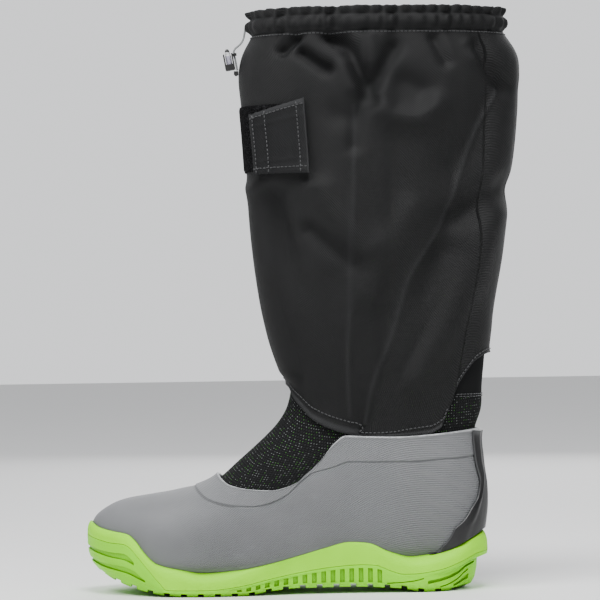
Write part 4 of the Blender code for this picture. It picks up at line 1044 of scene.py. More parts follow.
def close_block(bm: BMesh, rows: list) -> None:
    """Add faces round rows of four vertices, and close both ends.

    Args:
        bm: The mesh.
        rows: The rows, from one end to the other.
    """
    for before, after in zip(rows, rows[1:]):
        for k in range(4):
            m = (k + 1) % 4
            bm.faces.new((before[k], before[m], after[m], after[k]))
    bm.faces.new(rows[0][::-1])
    bm.faces.new(rows[-1])


def relief_strip(bm: BMesh, edges: list, side: int, depth: float) -> None:
    """One closed block along a groove, from rows of station, low and high share.

    Args:
        bm: The mesh.
        edges: Rows of station, lower and upper share.
        side: 1 for the outer side, -1 for the inner.
        depth: How deep the groove is.
    """
    rows = []
    for station, low, high in edges:
        rows.append([bm.verts.new(skin_point(station, side, share, out))
                     for share, out in ((low, -depth), (low, depth), (high, depth), (high, -depth))])
    close_block(bm, rows)


def toe_strip(bm: BMesh, low_column: int, high_column: int) -> None:
    """One groove round the toe, from the inner side to the outer one.

    Args:
        bm: The mesh.
        low_column: The table's column for the lower edge.
        high_column: Its column for the upper edge.
    """
    rows = [row for row in TOE_GROOVES[::-1] if row[low_column] is not None]
    stations = [row[0] for row in rows]
    low = np.interp(station_at(OUTLINE[:, 0]), stations, [row[low_column] for row in rows])
    high = np.interp(station_at(OUTLINE[:, 0]), stations, [row[high_column] for row in rows])
    picks = [k for k in range(-COLUMNS, COLUMNS) if station_at(OUTLINE[k, 0]) >= stations[0]]
    sides = [outsole_ring(share, out) for share, out in (
        (low, -TOE_GROOVE_DEPTH), (low, TOE_GROOVE_DEPTH),
        (high, TOE_GROOVE_DEPTH), (high, -TOE_GROOVE_DEPTH))]
    close_block(bm, [[bm.verts.new(ring[k]) for ring in sides] for k in picks])


def side_cutter() -> Thing:
    """Toe grooves, arch slots and slanted heel grooves in the outsole's side.

    Returns:
        A guide that cuts them.
    """
    bm = bmesh.new()
    for columns in ((1, 2), (3, 4)):
        toe_strip(bm, *columns)
    start, end = (along_at(station) for station in ARCH_PANEL)
    count = int((end - start) / ARCH_SLOT_PITCH)
    for side in (1, -1):
        for k in range(count):
            along = start + (k + 0.5) * ARCH_SLOT_PITCH
            height = parting_height(along) - tread_height(along)
            low = (TREAD_DEPTH + SLOT_FOOT_ROOM) / height
            high = 1 - SLOT_HEAD_ROOM / height
            if high - low < SLOT_LEAST:
                continue
            edges = [(float(station_at(along + d)), low, high)
                     for d in (-ARCH_SLOT_WIDTH / 2, ARCH_SLOT_WIDTH / 2)]
            relief_strip(bm, edges, side, ARCH_SLOT_DEPTH)
        for front, front_share, back, back_share, wide_front, wide_back in HEEL_GROOVES:
            edges = []
            for t in np.linspace(0.0, 1.0, HEEL_GROOVE_STEPS):
                station = front + (back - front) * t
                share = front_share + (back_share - front_share) * t
                wide = wide_front + (wide_back - wide_front) * t
                edges.append((station, share - wide / 2, share + wide / 2))
            relief_strip(bm, edges, side, HEEL_GROOVE_DEPTH)
    return cutter("side_relief", bm)


def mesh_of(name: str, bm: BMesh) -> Mesh:
    """Turn the faces outwards and make a mesh of them.

    Args:
        name: The mesh's name.
        bm: The faces, freed afterwards.

    Returns:
        The mesh.
    """
    bmesh.ops.recalc_face_normals(bm, faces=bm.faces)
    mesh = bpy.data.meshes.new(name)
    bm.to_mesh(mesh)
    bm.free()
    return mesh


def add_object(name: str, mesh: Mesh) -> Thing:
    """Put a mesh in the scene at the origin."""
    obj = bpy.data.objects.new(name, mesh)
    bpy.context.collection.objects.link(obj)
    return obj


def cutter(name: str, bm: BMesh) -> Thing:
    """A guide object that only cuts.

    Args:
        name: Its name.
        bm: Its faces, freed afterwards.

    Returns:
        The guide.
    """
    obj = add_object(name, mesh_of(name, bm))
    obj.hide_render = True
    obj.display_type = "WIRE"
    return obj


def cut(obj: Thing, tool: Thing) -> None:
    """Take a guide's shape out of an object.

    Args:
        obj: The object.
        tool: The guide.
    """
    modifier = obj.modifiers.new(tool.name, "BOOLEAN")
    modifier.operation = "DIFFERENCE"
    modifier.object = tool
    modifier.solver = "EXACT"


def lug_cutter() -> Thing:
    """Notches across the tread, between the lugs.

    Returns:
        A guide that cuts them.
    """
    bm = bmesh.new()
    half = BALL_WIDTH * 0.7
    front, back = along_at(0.985), along_at(0.012)
    first = -math.floor((0.5 * LUG_PITCH - back) / LUG_PITCH)
    count = int((front - back) / LUG_PITCH) + 1
    for k in range(count):
        along = (first + k - 0.5) * LUG_PITCH
        if not back < along < front:
            continue
        lows, highs = [], []
        for d, side in ((-1, -1), (-1, 1), (1, 1), (1, -1)):
            at = along + d * LUG_NOTCH / 2
            floor = float(tread_height(at))
            lows.append(bm.verts.new((side * half, -at, floor - TREAD_DEPTH)))
            highs.append(bm.verts.new((side * half, -at, floor + TREAD_DEPTH)))
        close_block(bm, [lows, highs])
    return cutter("lug_notches", bm)


def join_rings(bm: BMesh, rings: Sequence[Array]) -> list:
    """Bridge rings of points with faces, and return their vertices.

    Args:
        bm: The mesh.
        rings: Rings with the same number of points.

    Returns:
        The rings' vertices.
    """
    rows = [[bm.verts.new(point) for point in ring] for ring in rings]
    count = len(rows[0])
    for low, high in zip(rows, rows[1:]):
        for k in range(count):
            m = (k + 1) % count
            bm.faces.new((low[k], low[m], high[m], high[k]))
    return rows


class Value:
    """A shader value that Python's operators work on."""

    def __init__(self, kit: NodeKit, socket: Socket) -> None:
        """Wrap a node's output."""
        self.kit = kit
        self.socket = socket

    def __add__(self, other: Value | float) -> Value:
        """Sum."""
        return self.kit.maths("ADD", self, other)

    def __sub__(self, other: Value | float) -> Value:
        """Difference."""
        return self.kit.maths("SUBTRACT", self, other)

    def __rsub__(self, other: Value | float) -> Value:
        """Difference from a number."""
        return self.kit.maths("SUBTRACT", other, self)

    def __mul__(self, other: Value | float) -> Value:
        """Product."""
        return self.kit.maths("MULTIPLY", self, other)

    def __truediv__(self, other: Value | float) -> Value:
        """Quotient."""
        return self.kit.maths("DIVIDE", self, other)

    __radd__ = __add__
    __rmul__ = __mul__

    def sine(self) -> Value:
        """Sine of the value, from 0 to 1."""
        return self.kit.maths("SINE", self) * 0.5 + 0.5

    def whole(self) -> Value:
        """The whole number below."""
        return self.kit.maths("FLOOR", self)

    def part(self) -> Value:
        """What is left above the whole number below."""
        return self.kit.maths("FRACT", self)

    def size(self) -> Value:
        """The value without its sign."""
        return self.kit.maths("ABSOLUTE", self)

    def over(self, low: float, high: float) -> Value:
        """Go smoothly from 0 at low to 1 at high."""
        node = self.kit.node("ShaderNodeMapRange", {"interpolation_type": "SMOOTHSTEP"},
                             {0: self, 1: low, 2: high, 3: 0.0, 4: 1.0})
        return Value(self.kit, node.outputs[0])


class NodeKit:
    """Builds one material's nodes."""

    def __init__(self, name: str) -> None:
        """Start a material with its shader."""
        self.material = bpy.data.materials.new(name)
        self.material.use_nodes = True
        self.tree = self.material.node_tree
        self.shader = self.tree.nodes["Principled BSDF"]

    def node(self, kind: str, settings: dict | None = None,
             inputs: dict | None = None) -> bpy.types.Node:
        """Add a node.

        Args:
            kind: The node's type.
            settings: Its own settings, made before its sockets are filled.
            inputs: Values or links of its sockets, by name or number.

        Returns:
            The node.
        """
        node = self.tree.nodes.new(kind)
        for key, setting in (settings or {}).items():
            setattr(node, key, setting)
        for key, given in (inputs or {}).items():
            self.fill(node.inputs[key], given)
        return node

    def fill(self, socket: Socket, given: Value | float | Sequence[float]) -> None:
        """Link a value to a socket, or set a constant on it."""
        if isinstance(given, Value):
            self.tree.links.new(given.socket, socket)
        else:
            socket.default_value = given

    def maths(self, operation: str, *values: Value | float) -> Value:
        """Add a Math node over values."""
        node = self.node("ShaderNodeMath", {"operation": operation}, dict(enumerate(values)))
        return Value(self, node.outputs[0])

    def place(self) -> Value:
        """Object coordinates."""
        return Value(self, self.node("ShaderNodeTexCoord").outputs["Object"])

    def split(self, vector: Value) -> list[Value]:
        """The three parts of a vector."""
        node = self.node("ShaderNodeSeparateXYZ", None, {0: vector})
        return [Value(self, output) for output in node.outputs]

    def cloth(self) -> list[Value]:
        """The piece's own map, in metres round it and up it."""
        vector = Value(self, self.node("ShaderNodeUVMap", {"uv_map": "cloth"}).outputs[0])
        return self.split(vector)[:2]

    def mark(self, name: str) -> Value:
        """A value that the mesh holds at its points."""
        node = self.node("ShaderNodeAttribute", {"attribute_name": name})
        return Value(self, node.outputs["Fac"])

    def noise(self, scale: float, detail: float = 3.0, stretch: Sequence[float] = (1, 1, 1)) -> Value:
        """Soft noise over Object coordinates.

        Args:
            scale: How fine it is.
            detail: Its finer layers.
            stretch: How much finer along each axis.

        Returns:
            The noise, from 0 to 1.
        """
        vector = self.node("ShaderNodeVectorMath", {"operation": "MULTIPLY"},
                           {0: self.place(), 1: tuple(stretch)})
        node = self.node("ShaderNodeTexNoise", None,
                         {"Vector": Value(self, vector.outputs[0]), "Scale": scale, "Detail": detail})
        return Value(self, node.outputs["Fac"])

    def dice(self, first: Value, second: Value) -> Value:
        """A random number for each pair of whole numbers."""
        vector = self.node("ShaderNodeCombineXYZ", None, {0: first, 1: second})
        node = self.node("ShaderNodeTexWhiteNoise", {"noise_dimensions": "3D"},
                         {"Vector": Value(self, vector.outputs[0])})
        return Value(self, node.outputs["Value"])

    def hollow(self, distance: float) -> Value:
        """How shut in the surface is by what lies near it."""
        node = self.node("ShaderNodeAmbientOcclusion", {"samples": 8}, {"Distance": distance})
        return 1 - Value(self, node.outputs["AO"])

    def cells(self, scale: float) -> Value:
        """Distance in a field of cells over Object coordinates."""
        node = self.node("ShaderNodeTexVoronoi", None, {"Vector": self.place(), "Scale": scale})
        return Value(self, node.outputs["Distance"])

    def mix(self, share: Value | float, low: Value | Colour, high: Value | Colour) -> Value:
        """A colour between two colours."""
        node = self.node("ShaderNodeMix", {"data_type": "RGBA"}, {0: share})
        for socket, colour in ((node.inputs[6], low), (node.inputs[7], high)):
            self.fill(socket, colour if isinstance(colour, Value) else (*colour, 1.0))
        return Value(self, node.outputs[2])

    def bump(self, height: Value, distance: float) -> None:
        """Raise the surface's light by a height in shares of a distance."""
        node = self.node("ShaderNodeBump", None, {"Distance": distance, "Height": height})
        self.fill(self.shader.inputs["Normal"], Value(self, node.outputs[0]))

    def set(self, **values: Value | float | Sequence[float]) -> None:
        """Set the shader's sockets, named with _ for each blank."""
        for name, given in values.items():
            self.fill(self.shader.inputs[name.replace("_", " ")], given)


def shade(colour: Colour, share: float) -> Colour:
    """A colour made darker or lighter."""
    return tuple(min(part * share, 1.0) for part in colour)


@dataclass(frozen=True)
class Finish:
    """What the finishes share: each lays its own look on a new material."""

    def build(self, name: str) -> Material:
        """Make the material.

        Args:
            name: The material's name.

        Returns:
            The material with its look.
        """
        kit = NodeKit(name)
        self.lay(kit)
        return kit.material

    def lay(self, kit: NodeKit) -> None:
        """Lay the look; each finish has its own."""
        raise NotImplementedError


@dataclass(frozen=True)
class RibbedRubber(Finish):
    """Matte rubber with fine embossed ribs that the shell's marks steer; painted light higher up,
    painted shade in the rib troughs and the band's groove, and a painted highlight on the top edge.
    """

    colour: Colour = (0.165, 0.169, 0.175)
    # Colour of the painted highlight on the top edge.
    edge: Colour = (0.46, 0.47, 0.48)
    roughness: float = 0.56
    rib: float = 0.00046

    def lay(self, kit: NodeKit) -> None:
        """Lay the colours, roughness and bumps.

        Args:
            kit: The material's nodes.
        """
        wave = (kit.mark("rib") * (2 * math.pi)).sine()
        fade = kit.mark("fade")
        ridge = wave.over(0.12, 0.88) * fade
        height = kit.split(kit.place())[2]
        # Painted light: the shell grows lighter higher up, as a top light would make it, mixed with
        # random mottling.
        light = height.over(0.02, 0.11) * 0.30 + kit.noise(38.0) * 0.30 + 0.12
        tone = kit.mix(light, shade(self.colour, 0.72), shade(self.colour, 1.45))
        # Painted shade in the troughs between the ribs.
        tone = kit.mix((1 - ridge) * fade * 0.34, tone, shade(self.colour, 0.55))
        scuff = kit.noise(150.0, 5.0, (1.0, 0.25, 1.0)).over(0.62, 0.80) * 0.12
        tone = kit.mix(scuff, tone, shade(self.colour, 1.6))
        # Painted shade in the groove at the foot of the collar band.
        tone = kit.mix(kit.mark("groove") * 0.45, tone, shade(self.colour, 0.35))
        # Painted highlight on the rolled top edge, lip and inner rim, broken up by noise.
        wear_and_sheen = 0.35 + kit.noise(240.0, 4.0).over(0.4, 0.6) * 0.5
        tone = kit.mix(kit.mark("edge") * wear_and_sheen, tone, self.edge)
        grain = kit.noise(1600.0, 2.0)
        kit.set(Base_Color=tone, Roughness=self.roughness + kit.noise(60.0) * 0.16 - 0.08,
                Specular_IOR_Level=0.25)
        kit.bump(ridge + grain * 0.10, self.rib)


@dataclass(frozen=True)
class GlossRubber(Finish):
    """Glossy black rubber with faint scuffs, a painted highlight on its rim and a painted reflection
    low in its centre.
    """

    colour: Colour = (0.0055, 0.0055, 0.0060)
    roughness: float = 0.32

    def lay(self, kit: NodeKit) -> None:
        """Lay the colours, roughness and bumps.

        Args:
            kit: The material's nodes.
        """
        # Painted reflection: a paler patch low in the centre, as of a bright backdrop on gloss.
        low = kit.split(kit.place())[2].over(0.060, 0.030) * kit.mark("centre")
        tone = kit.mix(kit.noise(70.0, 4.0).over(0.45, 0.75), self.colour, shade(self.colour, 2.6))
        # Painted highlight along the rim.
        tone = kit.mix(kit.mark("edge") * 0.4, tone, (0.08, 0.082, 0.085))
        tone = kit.mix(low * 0.6, tone, (0.10, 0.105, 0.11))
        kit.set(Base_Color=tone, Roughness=self.roughness + kit.noise(90.0, 4.0) * 0.20 - 0.04,
                Specular_IOR_Level=0.38, Coat_Weight=0.05, Coat_Roughness=0.2)
        kit.bump(kit.noise(900.0, 2.0), 0.00008)


@dataclass(frozen=True)
class SoleRubber(Finish):
    """Bright sole rubber with mould grain, painted shade in its grooves and darker olive patches
    towards the bottom.
    """

    colour: Colour
    roughness: float = 0.42
    # Colour of the painted shade in grooves and slots.
    deep: Colour = (0.07, 0.24, 0.0)

    def lay(self, kit: NodeKit) -> None:
        """Lay the colours, roughness and bumps.

        Args:
            kit: The material's nodes.
        """
        tone = kit.mix(kit.noise(24.0, 2.0), shade(self.colour, 0.86), shade(self.colour, 1.08))
        # Darker olive patches towards the bottom of the sole.
        low_darkening = kit.split(kit.place())[2].over(0.010, 0.0) * kit.noise(160.0, 4.0).over(0.46, 0.70)
        tone = kit.mix(low_darkening * 0.45, tone, (0.16, 0.20, 0.05))
        # Painted shade: darker green where nearby rubber closes the surface in, as in grooves, slots
        # and notches.
        tone = kit.mix(kit.hollow(0.004).over(0.03, 0.45) * 0.75, tone, self.deep)
        kit.set(Base_Color=tone, Roughness=self.roughness + kit.noise(110.0) * 0.16 - 0.08,
                Specular_IOR_Level=0.10)
        kit.bump(kit.noise(1300.0, 2.0), 0.00010)


@dataclass(frozen=True)
class MeshKnit(Finish):
    """Black knit with rows of pale and green specks where the yarns cross."""

    colour: Colour = (0.0065, 0.0068, 0.0070)
    pale: Colour = (0.24, 0.26, 0.25)
    green: Colour = (0.07, 0.26, 0.03)
    wale: float = 0.0019
    course: float = 0.0023

    def lay(self, kit: NodeKit) -> None:
        """Lay the colours, roughness and bumps.

        Args:
            kit: The material's nodes.
        """
        u, v = kit.cloth()
        row = v / self.course
        column = u / self.wale + row.whole() * 0.5
        across = (column.part() - 0.5).size()
        up = (row.part() - 0.5).size()
        loop = 1 - kit.maths("SQRT", across * across + up * up * 0.7).over(0.16, 0.50)
        luck = kit.dice(column.whole(), row.whole())
        open_knit = 1 - kit.mark("smooth")
        speck = 1 - kit.maths("SQRT", across * across + up * up * 2.2).over(0.12, 0.24)
        pale = speck * luck.over(0.66, 0.74) * open_knit
        green = speck * luck.over(0.22, 0.20) * open_knit
        tone = kit.mix(loop * 0.55 * open_knit, self.colour, shade(self.colour, 3.0))
        tone = kit.mix(pale * 0.6, tone, self.pale)
        tone = kit.mix(green * 0.55, tone, self.green)
        kit.set(Base_Color=tone, Roughness=0.92, Specular_IOR_Level=0.12)
        kit.bump(loop * open_knit, 0.00045)


@dataclass(frozen=True)
class Twill(Finish):
    """Woven cloth with a diagonal rib, a soft sheen and painted highlights where its edge mark lies.
    """

    colour: Colour = (0.0038, 0.0039, 0.0041)
    pitch: float = 0.0016
    thread: float = 0.0007

    def lay(self, kit: NodeKit) -> None:
        """Lay the colours, roughness and bumps.

        Args:
            kit: The material's nodes.
        """
        u, v = kit.cloth()
        diagonal = ((u + v * 0.8) * (2 * math.pi / self.pitch)).sine()
        weft = (v * (2 * math.pi / self.thread)).sine()
        weave = diagonal.over(0.1, 0.9) * 0.8 + weft * 0.2
        wear_and_sheen = kit.noise(46.0, 4.0).over(0.35, 0.80)
        tone = kit.mix(weave, shade(self.colour, 0.5), shade(self.colour, 2.6))
        tone = kit.mix(wear_and_sheen * 0.25, tone, shade(self.colour, 2.6))
        lint = kit.cells(420.0).over(0.10, 0.04) * kit.noise(700.0).over(0.60, 0.72)
        tone = kit.mix(lint * 0.35, tone, (0.16, 0.16, 0.16))
        # Painted highlight where the edge mark lies: raised seams, rolled edges and the tops of hem
        # and flap.
        tone = kit.mix(kit.mark("edge") * 0.5, tone, (0.045, 0.046, 0.048))
        kit.set(Base_Color=tone, Roughness=0.60 + kit.noise(80.0) * 0.12 - 0.06,
                Specular_IOR_Level=0.22)
        kit.bump(weave + kit.noise(210.0, 3.0) * 0.5, 0.00034)


@dataclass(frozen=True)
class LoopPile(Finish):
    """Fuzzy loop pile for a touch fastening."""

    colour: Colour = (0.0065, 0.0065, 0.007)

    def lay(self, kit: NodeKit) -> None:
        """Lay the colours, roughness and bumps.

        Args:
            kit: The material's nodes.
        """
        loops = 1 - kit.cells(900.0).over(0.05, 0.65)
        tufts = kit.noise(260.0, 4.0)
        tone = kit.mix(loops * 0.7, shade(self.colour, 0.5), shade(self.colour, 4.5))
        tone = kit.mix(tufts.over(0.5, 0.8) * 0.4, tone, shade(self.colour, 6.0))
        kit.set(Base_Color=tone, Roughness=0.98, Specular_IOR_Level=0.04)
        kit.bump(loops + tufts * 1.5, 0.0009)


@dataclass(frozen=True)
class Plastic(Finish):
    """Moulded plastic with light wear."""

    colour: Colour
    roughness: float

    def lay(self, kit: NodeKit) -> None:
        """Lay the colours, roughness and bumps.

        Args:
            kit: The material's nodes.
        """
        wear = kit.noise(520.0, 4.0).over(0.50, 0.72)
        tone = kit.mix(wear * 0.4, self.colour, shade(self.colour, 1.6))
        kit.set(Base_Color=tone, Roughness=self.roughness + kit.noise(300.0) * 0.16 - 0.08)
        kit.bump(kit.noise(2200.0, 2.0), 0.00004)


@dataclass(frozen=True)
class LockBarrel(Finish):
    """The sprung plunger's finish: black cap, pale body, silver-lilac barrel."""

    low: float
    high: float

    def lay(self, kit: NodeKit) -> None:
        """Lay the colours, roughness and bumps.

        Args:
            kit: The material's nodes.
        """
        share = (kit.split(kit.place())[2] - self.low) / (self.high - self.low)
        tone = kit.mix(share.over(0.56, 0.60), (0.34, 0.33, 0.40), (0.52, 0.53, 0.54))
        tone = kit.mix(share.over(0.78, 0.82), tone, (0.012, 0.012, 0.012))
        kit.set(Base_Color=tone, Roughness=0.34 + kit.noise(400.0) * 0.1)
        kit.bump(kit.noise(2000.0, 2.0), 0.00003)


@dataclass(frozen=True)
class BraidedCord(Finish):
    """Thin grey cord with braided strands."""

    colour: Colour = (0.20, 0.21, 0.21)

    def lay(self, kit: NodeKit) -> None:
        """Lay the colours, roughness and bumps.

        Args:
            kit: The material's nodes.
        """
        x, y, z = kit.split(kit.place())
        first = ((z + x * 1.4) * 7000.0).sine()
        second = ((z - x * 1.4 + y) * 7000.0).sine()
        strands = kit.maths("MAXIMUM", first, second)
        tone = kit.mix(strands, shade(self.colour, 0.45), shade(self.colour, 1.5))
        kit.set(Base_Color=tone, Roughness=0.85)
        kit.bump(strands, 0.0002)


@dataclass(frozen=True)
class FootbedFoam(Finish):
    """Dark grey insole foam under a brushed cloth face."""

    colour: Colour = (0.045, 0.045, 0.05)

    def lay(self, kit: NodeKit) -> None:
        """Lay the colours, roughness and bumps.

        Args:
            kit: The material's nodes.
        """
        grain = kit.cells(700.0)
        tone = kit.mix(grain.over(0.1, 0.7), shade(self.colour, 1.4), shade(self.colour, 0.6))
        kit.set(Base_Color=tone, Roughness=0.94, Sheen_Weight=0.2)
        kit.bump(grain, 0.0004)


@dataclass(frozen=True)
class Thread(Finish):
    """Sewing thread."""

    colour: Colour = (0.030, 0.031, 0.033)

    def lay(self, kit: NodeKit) -> None:
        """Lay the colours, roughness and bumps.

        Args:
            kit: The material's nodes.
        """
        twist = kit.noise(3000.0, 2.0, (1.0, 1.0, 0.4))
        kit.set(Base_Color=kit.mix(twist, shade(self.colour, 0.6), shade(self.colour, 1.7)),
                Roughness=0.62, Sheen_Weight=0.2)
        kit.bump(twist, 0.0001)


@dataclass(frozen=True)
class PaleFloor(Finish):
    """Plain pale studio floor."""

    colour: Colour = (0.80, 0.80, 0.80)

    def lay(self, kit: NodeKit) -> None:
        """Lay the colours, roughness and bumps.

        Args:
            kit: The material's nodes.
        """
        kit.set(Base_Color=kit.mix(kit.noise(3.0), self.colour, shade(self.colour, 1.02)),
                Roughness=0.75, Specular_IOR_Level=0.2)


def grid_object(name: str, rows: Array, material: Material,
                marks: dict[str, Array] | None = None,
                closed: tuple[bool, bool] = (True, True)) -> Thing:
    """Make a mesh over a grid of points, with a map in metres.

    Args:
        name: The piece's name.
        rows: Points, rows by columns.
        material: Its finish.
        marks: Values at the points, by attribute name.
        closed: Whether the last row joins the first, and the last column the first.

    Returns:
        The piece's object.
    """
    high, wide = rows.shape[:2]
    i, j = np.meshgrid(np.arange(high if closed[0] else high - 1),
                       np.arange(wide if closed[1] else wide - 1), indexing="ij")
    i, j = i.ravel(), j.ravel()
    corners = ((i, j), (i, j + 1), (i + 1, j + 1), (i + 1, j))
    faces = np.stack([(a % high) * wide + b % wide for a, b in corners], axis=1)
    mesh = bpy.data.meshes.new(name)
    mesh.from_pydata(rows.reshape(-1, 3).tolist(), [], faces.tolist())
    steps = np.linalg.norm(np.roll(rows, -1, axis=1) - rows, axis=2).mean(axis=0)
    rises = np.linalg.norm(np.roll(rows, -1, axis=0) - rows, axis=2)
    u = np.concatenate([[0.0], np.cumsum(steps)])
    v = np.vstack([np.zeros(wide), np.cumsum(rises, axis=0)])
    flat = np.stack([np.stack([u[b], v[a, b % wide]], axis=1) for a, b in corners], axis=1)
    cloth = mesh.uv_layers.new(name="cloth")
    cloth.data.foreach_set("uv", flat.reshape(-1))
    for key, values in (marks or {}).items():
        layer = mesh.attributes.new(key, "FLOAT", "POINT")
        layer.data.foreach_set("value", np.asarray(values, float).ravel())
    bm = bmesh.new()
    bm.from_mesh(mesh)
    bmesh.ops.recalc_face_normals(bm, faces=bm.faces)
    bm.to_mesh(mesh)
    bm.free()
    mesh.shade_smooth()
    mesh.materials.append(material)
    return add_object(name, mesh)


def panel(name: str, outer: Array, inner: Array, material: Material,
          marks: dict[str, Array] | None = None) -> Thing:
    """Make a closed panel between two grids of points of the same shape.

    Args:
        name: The piece's name.
        outer: Points of the outer face.
        inner: Points of the inner face.
        material: The finish.
        marks: Values at the outer points, by attribute name.

    Returns:
        The piece's object.
    """
    rows = np.concatenate([outer, inner[::-1]], axis=0)
    full = {key: np.concatenate([values, values[::-1]], axis=0)
            for key, values in (marks or {}).items()}
    obj = grid_object(name, rows, material, full, (True, False))
    bm = bmesh.new()
    bm.from_mesh(obj.data)
    high, wide = outer.shape[:2]
    bm.verts.ensure_lookup_table()
    for column in (0, wide - 1):
        for row in range(high - 1):
            quad = [bm.verts[a * wide + column] for a in
                    (row, row + 1, 2 * high - 2 - row, 2 * high - 1 - row)]
            bm.faces.new(quad).smooth = False
    bmesh.ops.recalc_face_normals(bm, faces=bm.faces)
    bm.to_mesh(obj.data)
    bm.free()
    obj.data.set_sharp_from_angle(angle=math.radians(45))
    return obj


@dataclass
class StitchRun:
    """Small stitches along lines, made by one Geometry Nodes tree."""

    spacing: float = 0.0030
    length: float = 0.0019
    thickness: float = 0.00075
    shortest: float = 0.86
    longest: float = 1.12
    seed: int = 5

    def tree(self) -> NodeTree:
        """Build the tree: points along the line, a stitch on each, made real.

        Returns:
            The tree.
        """
        tree = bpy.data.node_groups.new("stitch_run", "GeometryNodeTree")
        face = tree.interface
        face.new_socket("Geometry", in_out="INPUT", socket_type="NodeSocketGeometry")
        for label in ("Spacing", "Length", "Thickness"):
            face.new_socket(label, in_out="INPUT", socket_type="NodeSocketFloat")
        face.new_socket("Thread", in_out="INPUT", socket_type="NodeSocketMaterial")
        face.new_socket("Geometry", in_out="OUTPUT", socket_type="NodeSocketGeometry")
        node = {kind: tree.nodes.new(kind) for kind in (
            "NodeGroupInput", "NodeGroupOutput", "GeometryNodeMeshToCurve",
            "GeometryNodeCurveToPoints", "GeometryNodeMeshCylinder", "GeometryNodeInstanceOnPoints",
            "GeometryNodeRealizeInstances", "GeometryNodeSetMaterial", "ShaderNodeCombineXYZ",
            "FunctionNodeRandomValue", "ShaderNodeMath")}
        points, stitch = node["GeometryNodeCurveToPoints"], node["GeometryNodeMeshCylinder"]
        vary, size = node["FunctionNodeRandomValue"], node["ShaderNodeCombineXYZ"]
        times, made = node["ShaderNodeMath"], node["GeometryNodeRealizeInstances"]
        line, spread = node["GeometryNodeMeshToCurve"], node["GeometryNodeInstanceOnPoints"]
        dyed, given = node["GeometryNodeSetMaterial"], node["NodeGroupInput"].outputs
        points.mode, vary.data_type, times.operation = "LENGTH", "FLOAT", "MULTIPLY"
        for socket, value in ((stitch.inputs["Vertices"], 6), (stitch.inputs["Radius"], 0.5),
                              (stitch.inputs["Depth"], 1.0), (vary.inputs[2], self.shortest),
                              (vary.inputs[3], self.longest), (vary.inputs["Seed"], self.seed)):
            socket.default_value = value
        for source, socket in (
                (given["Geometry"], line.inputs["Mesh"]), (line.outputs[0], points.inputs["Curve"]),
                (given["Spacing"], points.inputs["Length"]),
                (points.outputs["Points"], spread.inputs["Points"]),
                (points.outputs["Rotation"], spread.inputs["Rotation"]),
                (stitch.outputs["Mesh"], spread.inputs["Instance"]),
                (given["Length"], times.inputs[0]), (vary.outputs[1], times.inputs[1]),
                (given["Thickness"], size.inputs[0]), (given["Thickness"], size.inputs[1]),
                (times.outputs[0], size.inputs[2]), (size.outputs[0], spread.inputs["Scale"]),
                (spread.outputs["Instances"], made.inputs[0]),
                (made.outputs[0], dyed.inputs["Geometry"]),
                (given["Thread"], dyed.inputs["Material"]),
                (dyed.outputs[0], node["NodeGroupOutput"].inputs[0])):
            tree.links.new(source, socket)
        return tree

    def sew(self, name: str, lines: Sequence[Array], material: Material,
            tree: NodeTree) -> Thing:
        """Sew stitches along lines of points.

        Args:
            name: The piece's name.
            lines: Lines of points on the cloth.
            material: The thread's finish.
            tree: The tree from the tree method.

        Returns:
            The stitches as one plain mesh.
        """
        verts, edges = [], []
        for line in lines:
            start = len(verts)
            verts.extend(np.asarray(line).tolist())
            edges.extend((k, k + 1) for k in range(start, len(verts) - 1))
        guide = bpy.data.meshes.new(name + "_line")
        guide.from_pydata(verts, edges, [])
        carrier = add_object(name + "_line", guide)
        modifier = carrier.modifiers.new("stitches", "NODES")
        modifier.node_group = tree
        values = {"Spacing": self.spacing, "Length": self.length, "Thickness": self.thickness,
                  "Thread": material}
        for item in tree.interface.items_tree:
            if item.item_type == "SOCKET" and item.in_out == "INPUT" and item.name in values:
                modifier[item.identifier] = values[item.name]
        graph = bpy.context.evaluated_depsgraph_get()
        mesh = bpy.data.meshes.new_from_object(carrier.evaluated_get(graph), depsgraph=graph)
        mesh.name = name
        mesh.shade_smooth()
        carrier.modifiers.remove(modifier)
        bpy.data.objects.remove(carrier)
        if not mesh.materials:
            mesh.materials.append(material)
        return add_object(name, mesh)


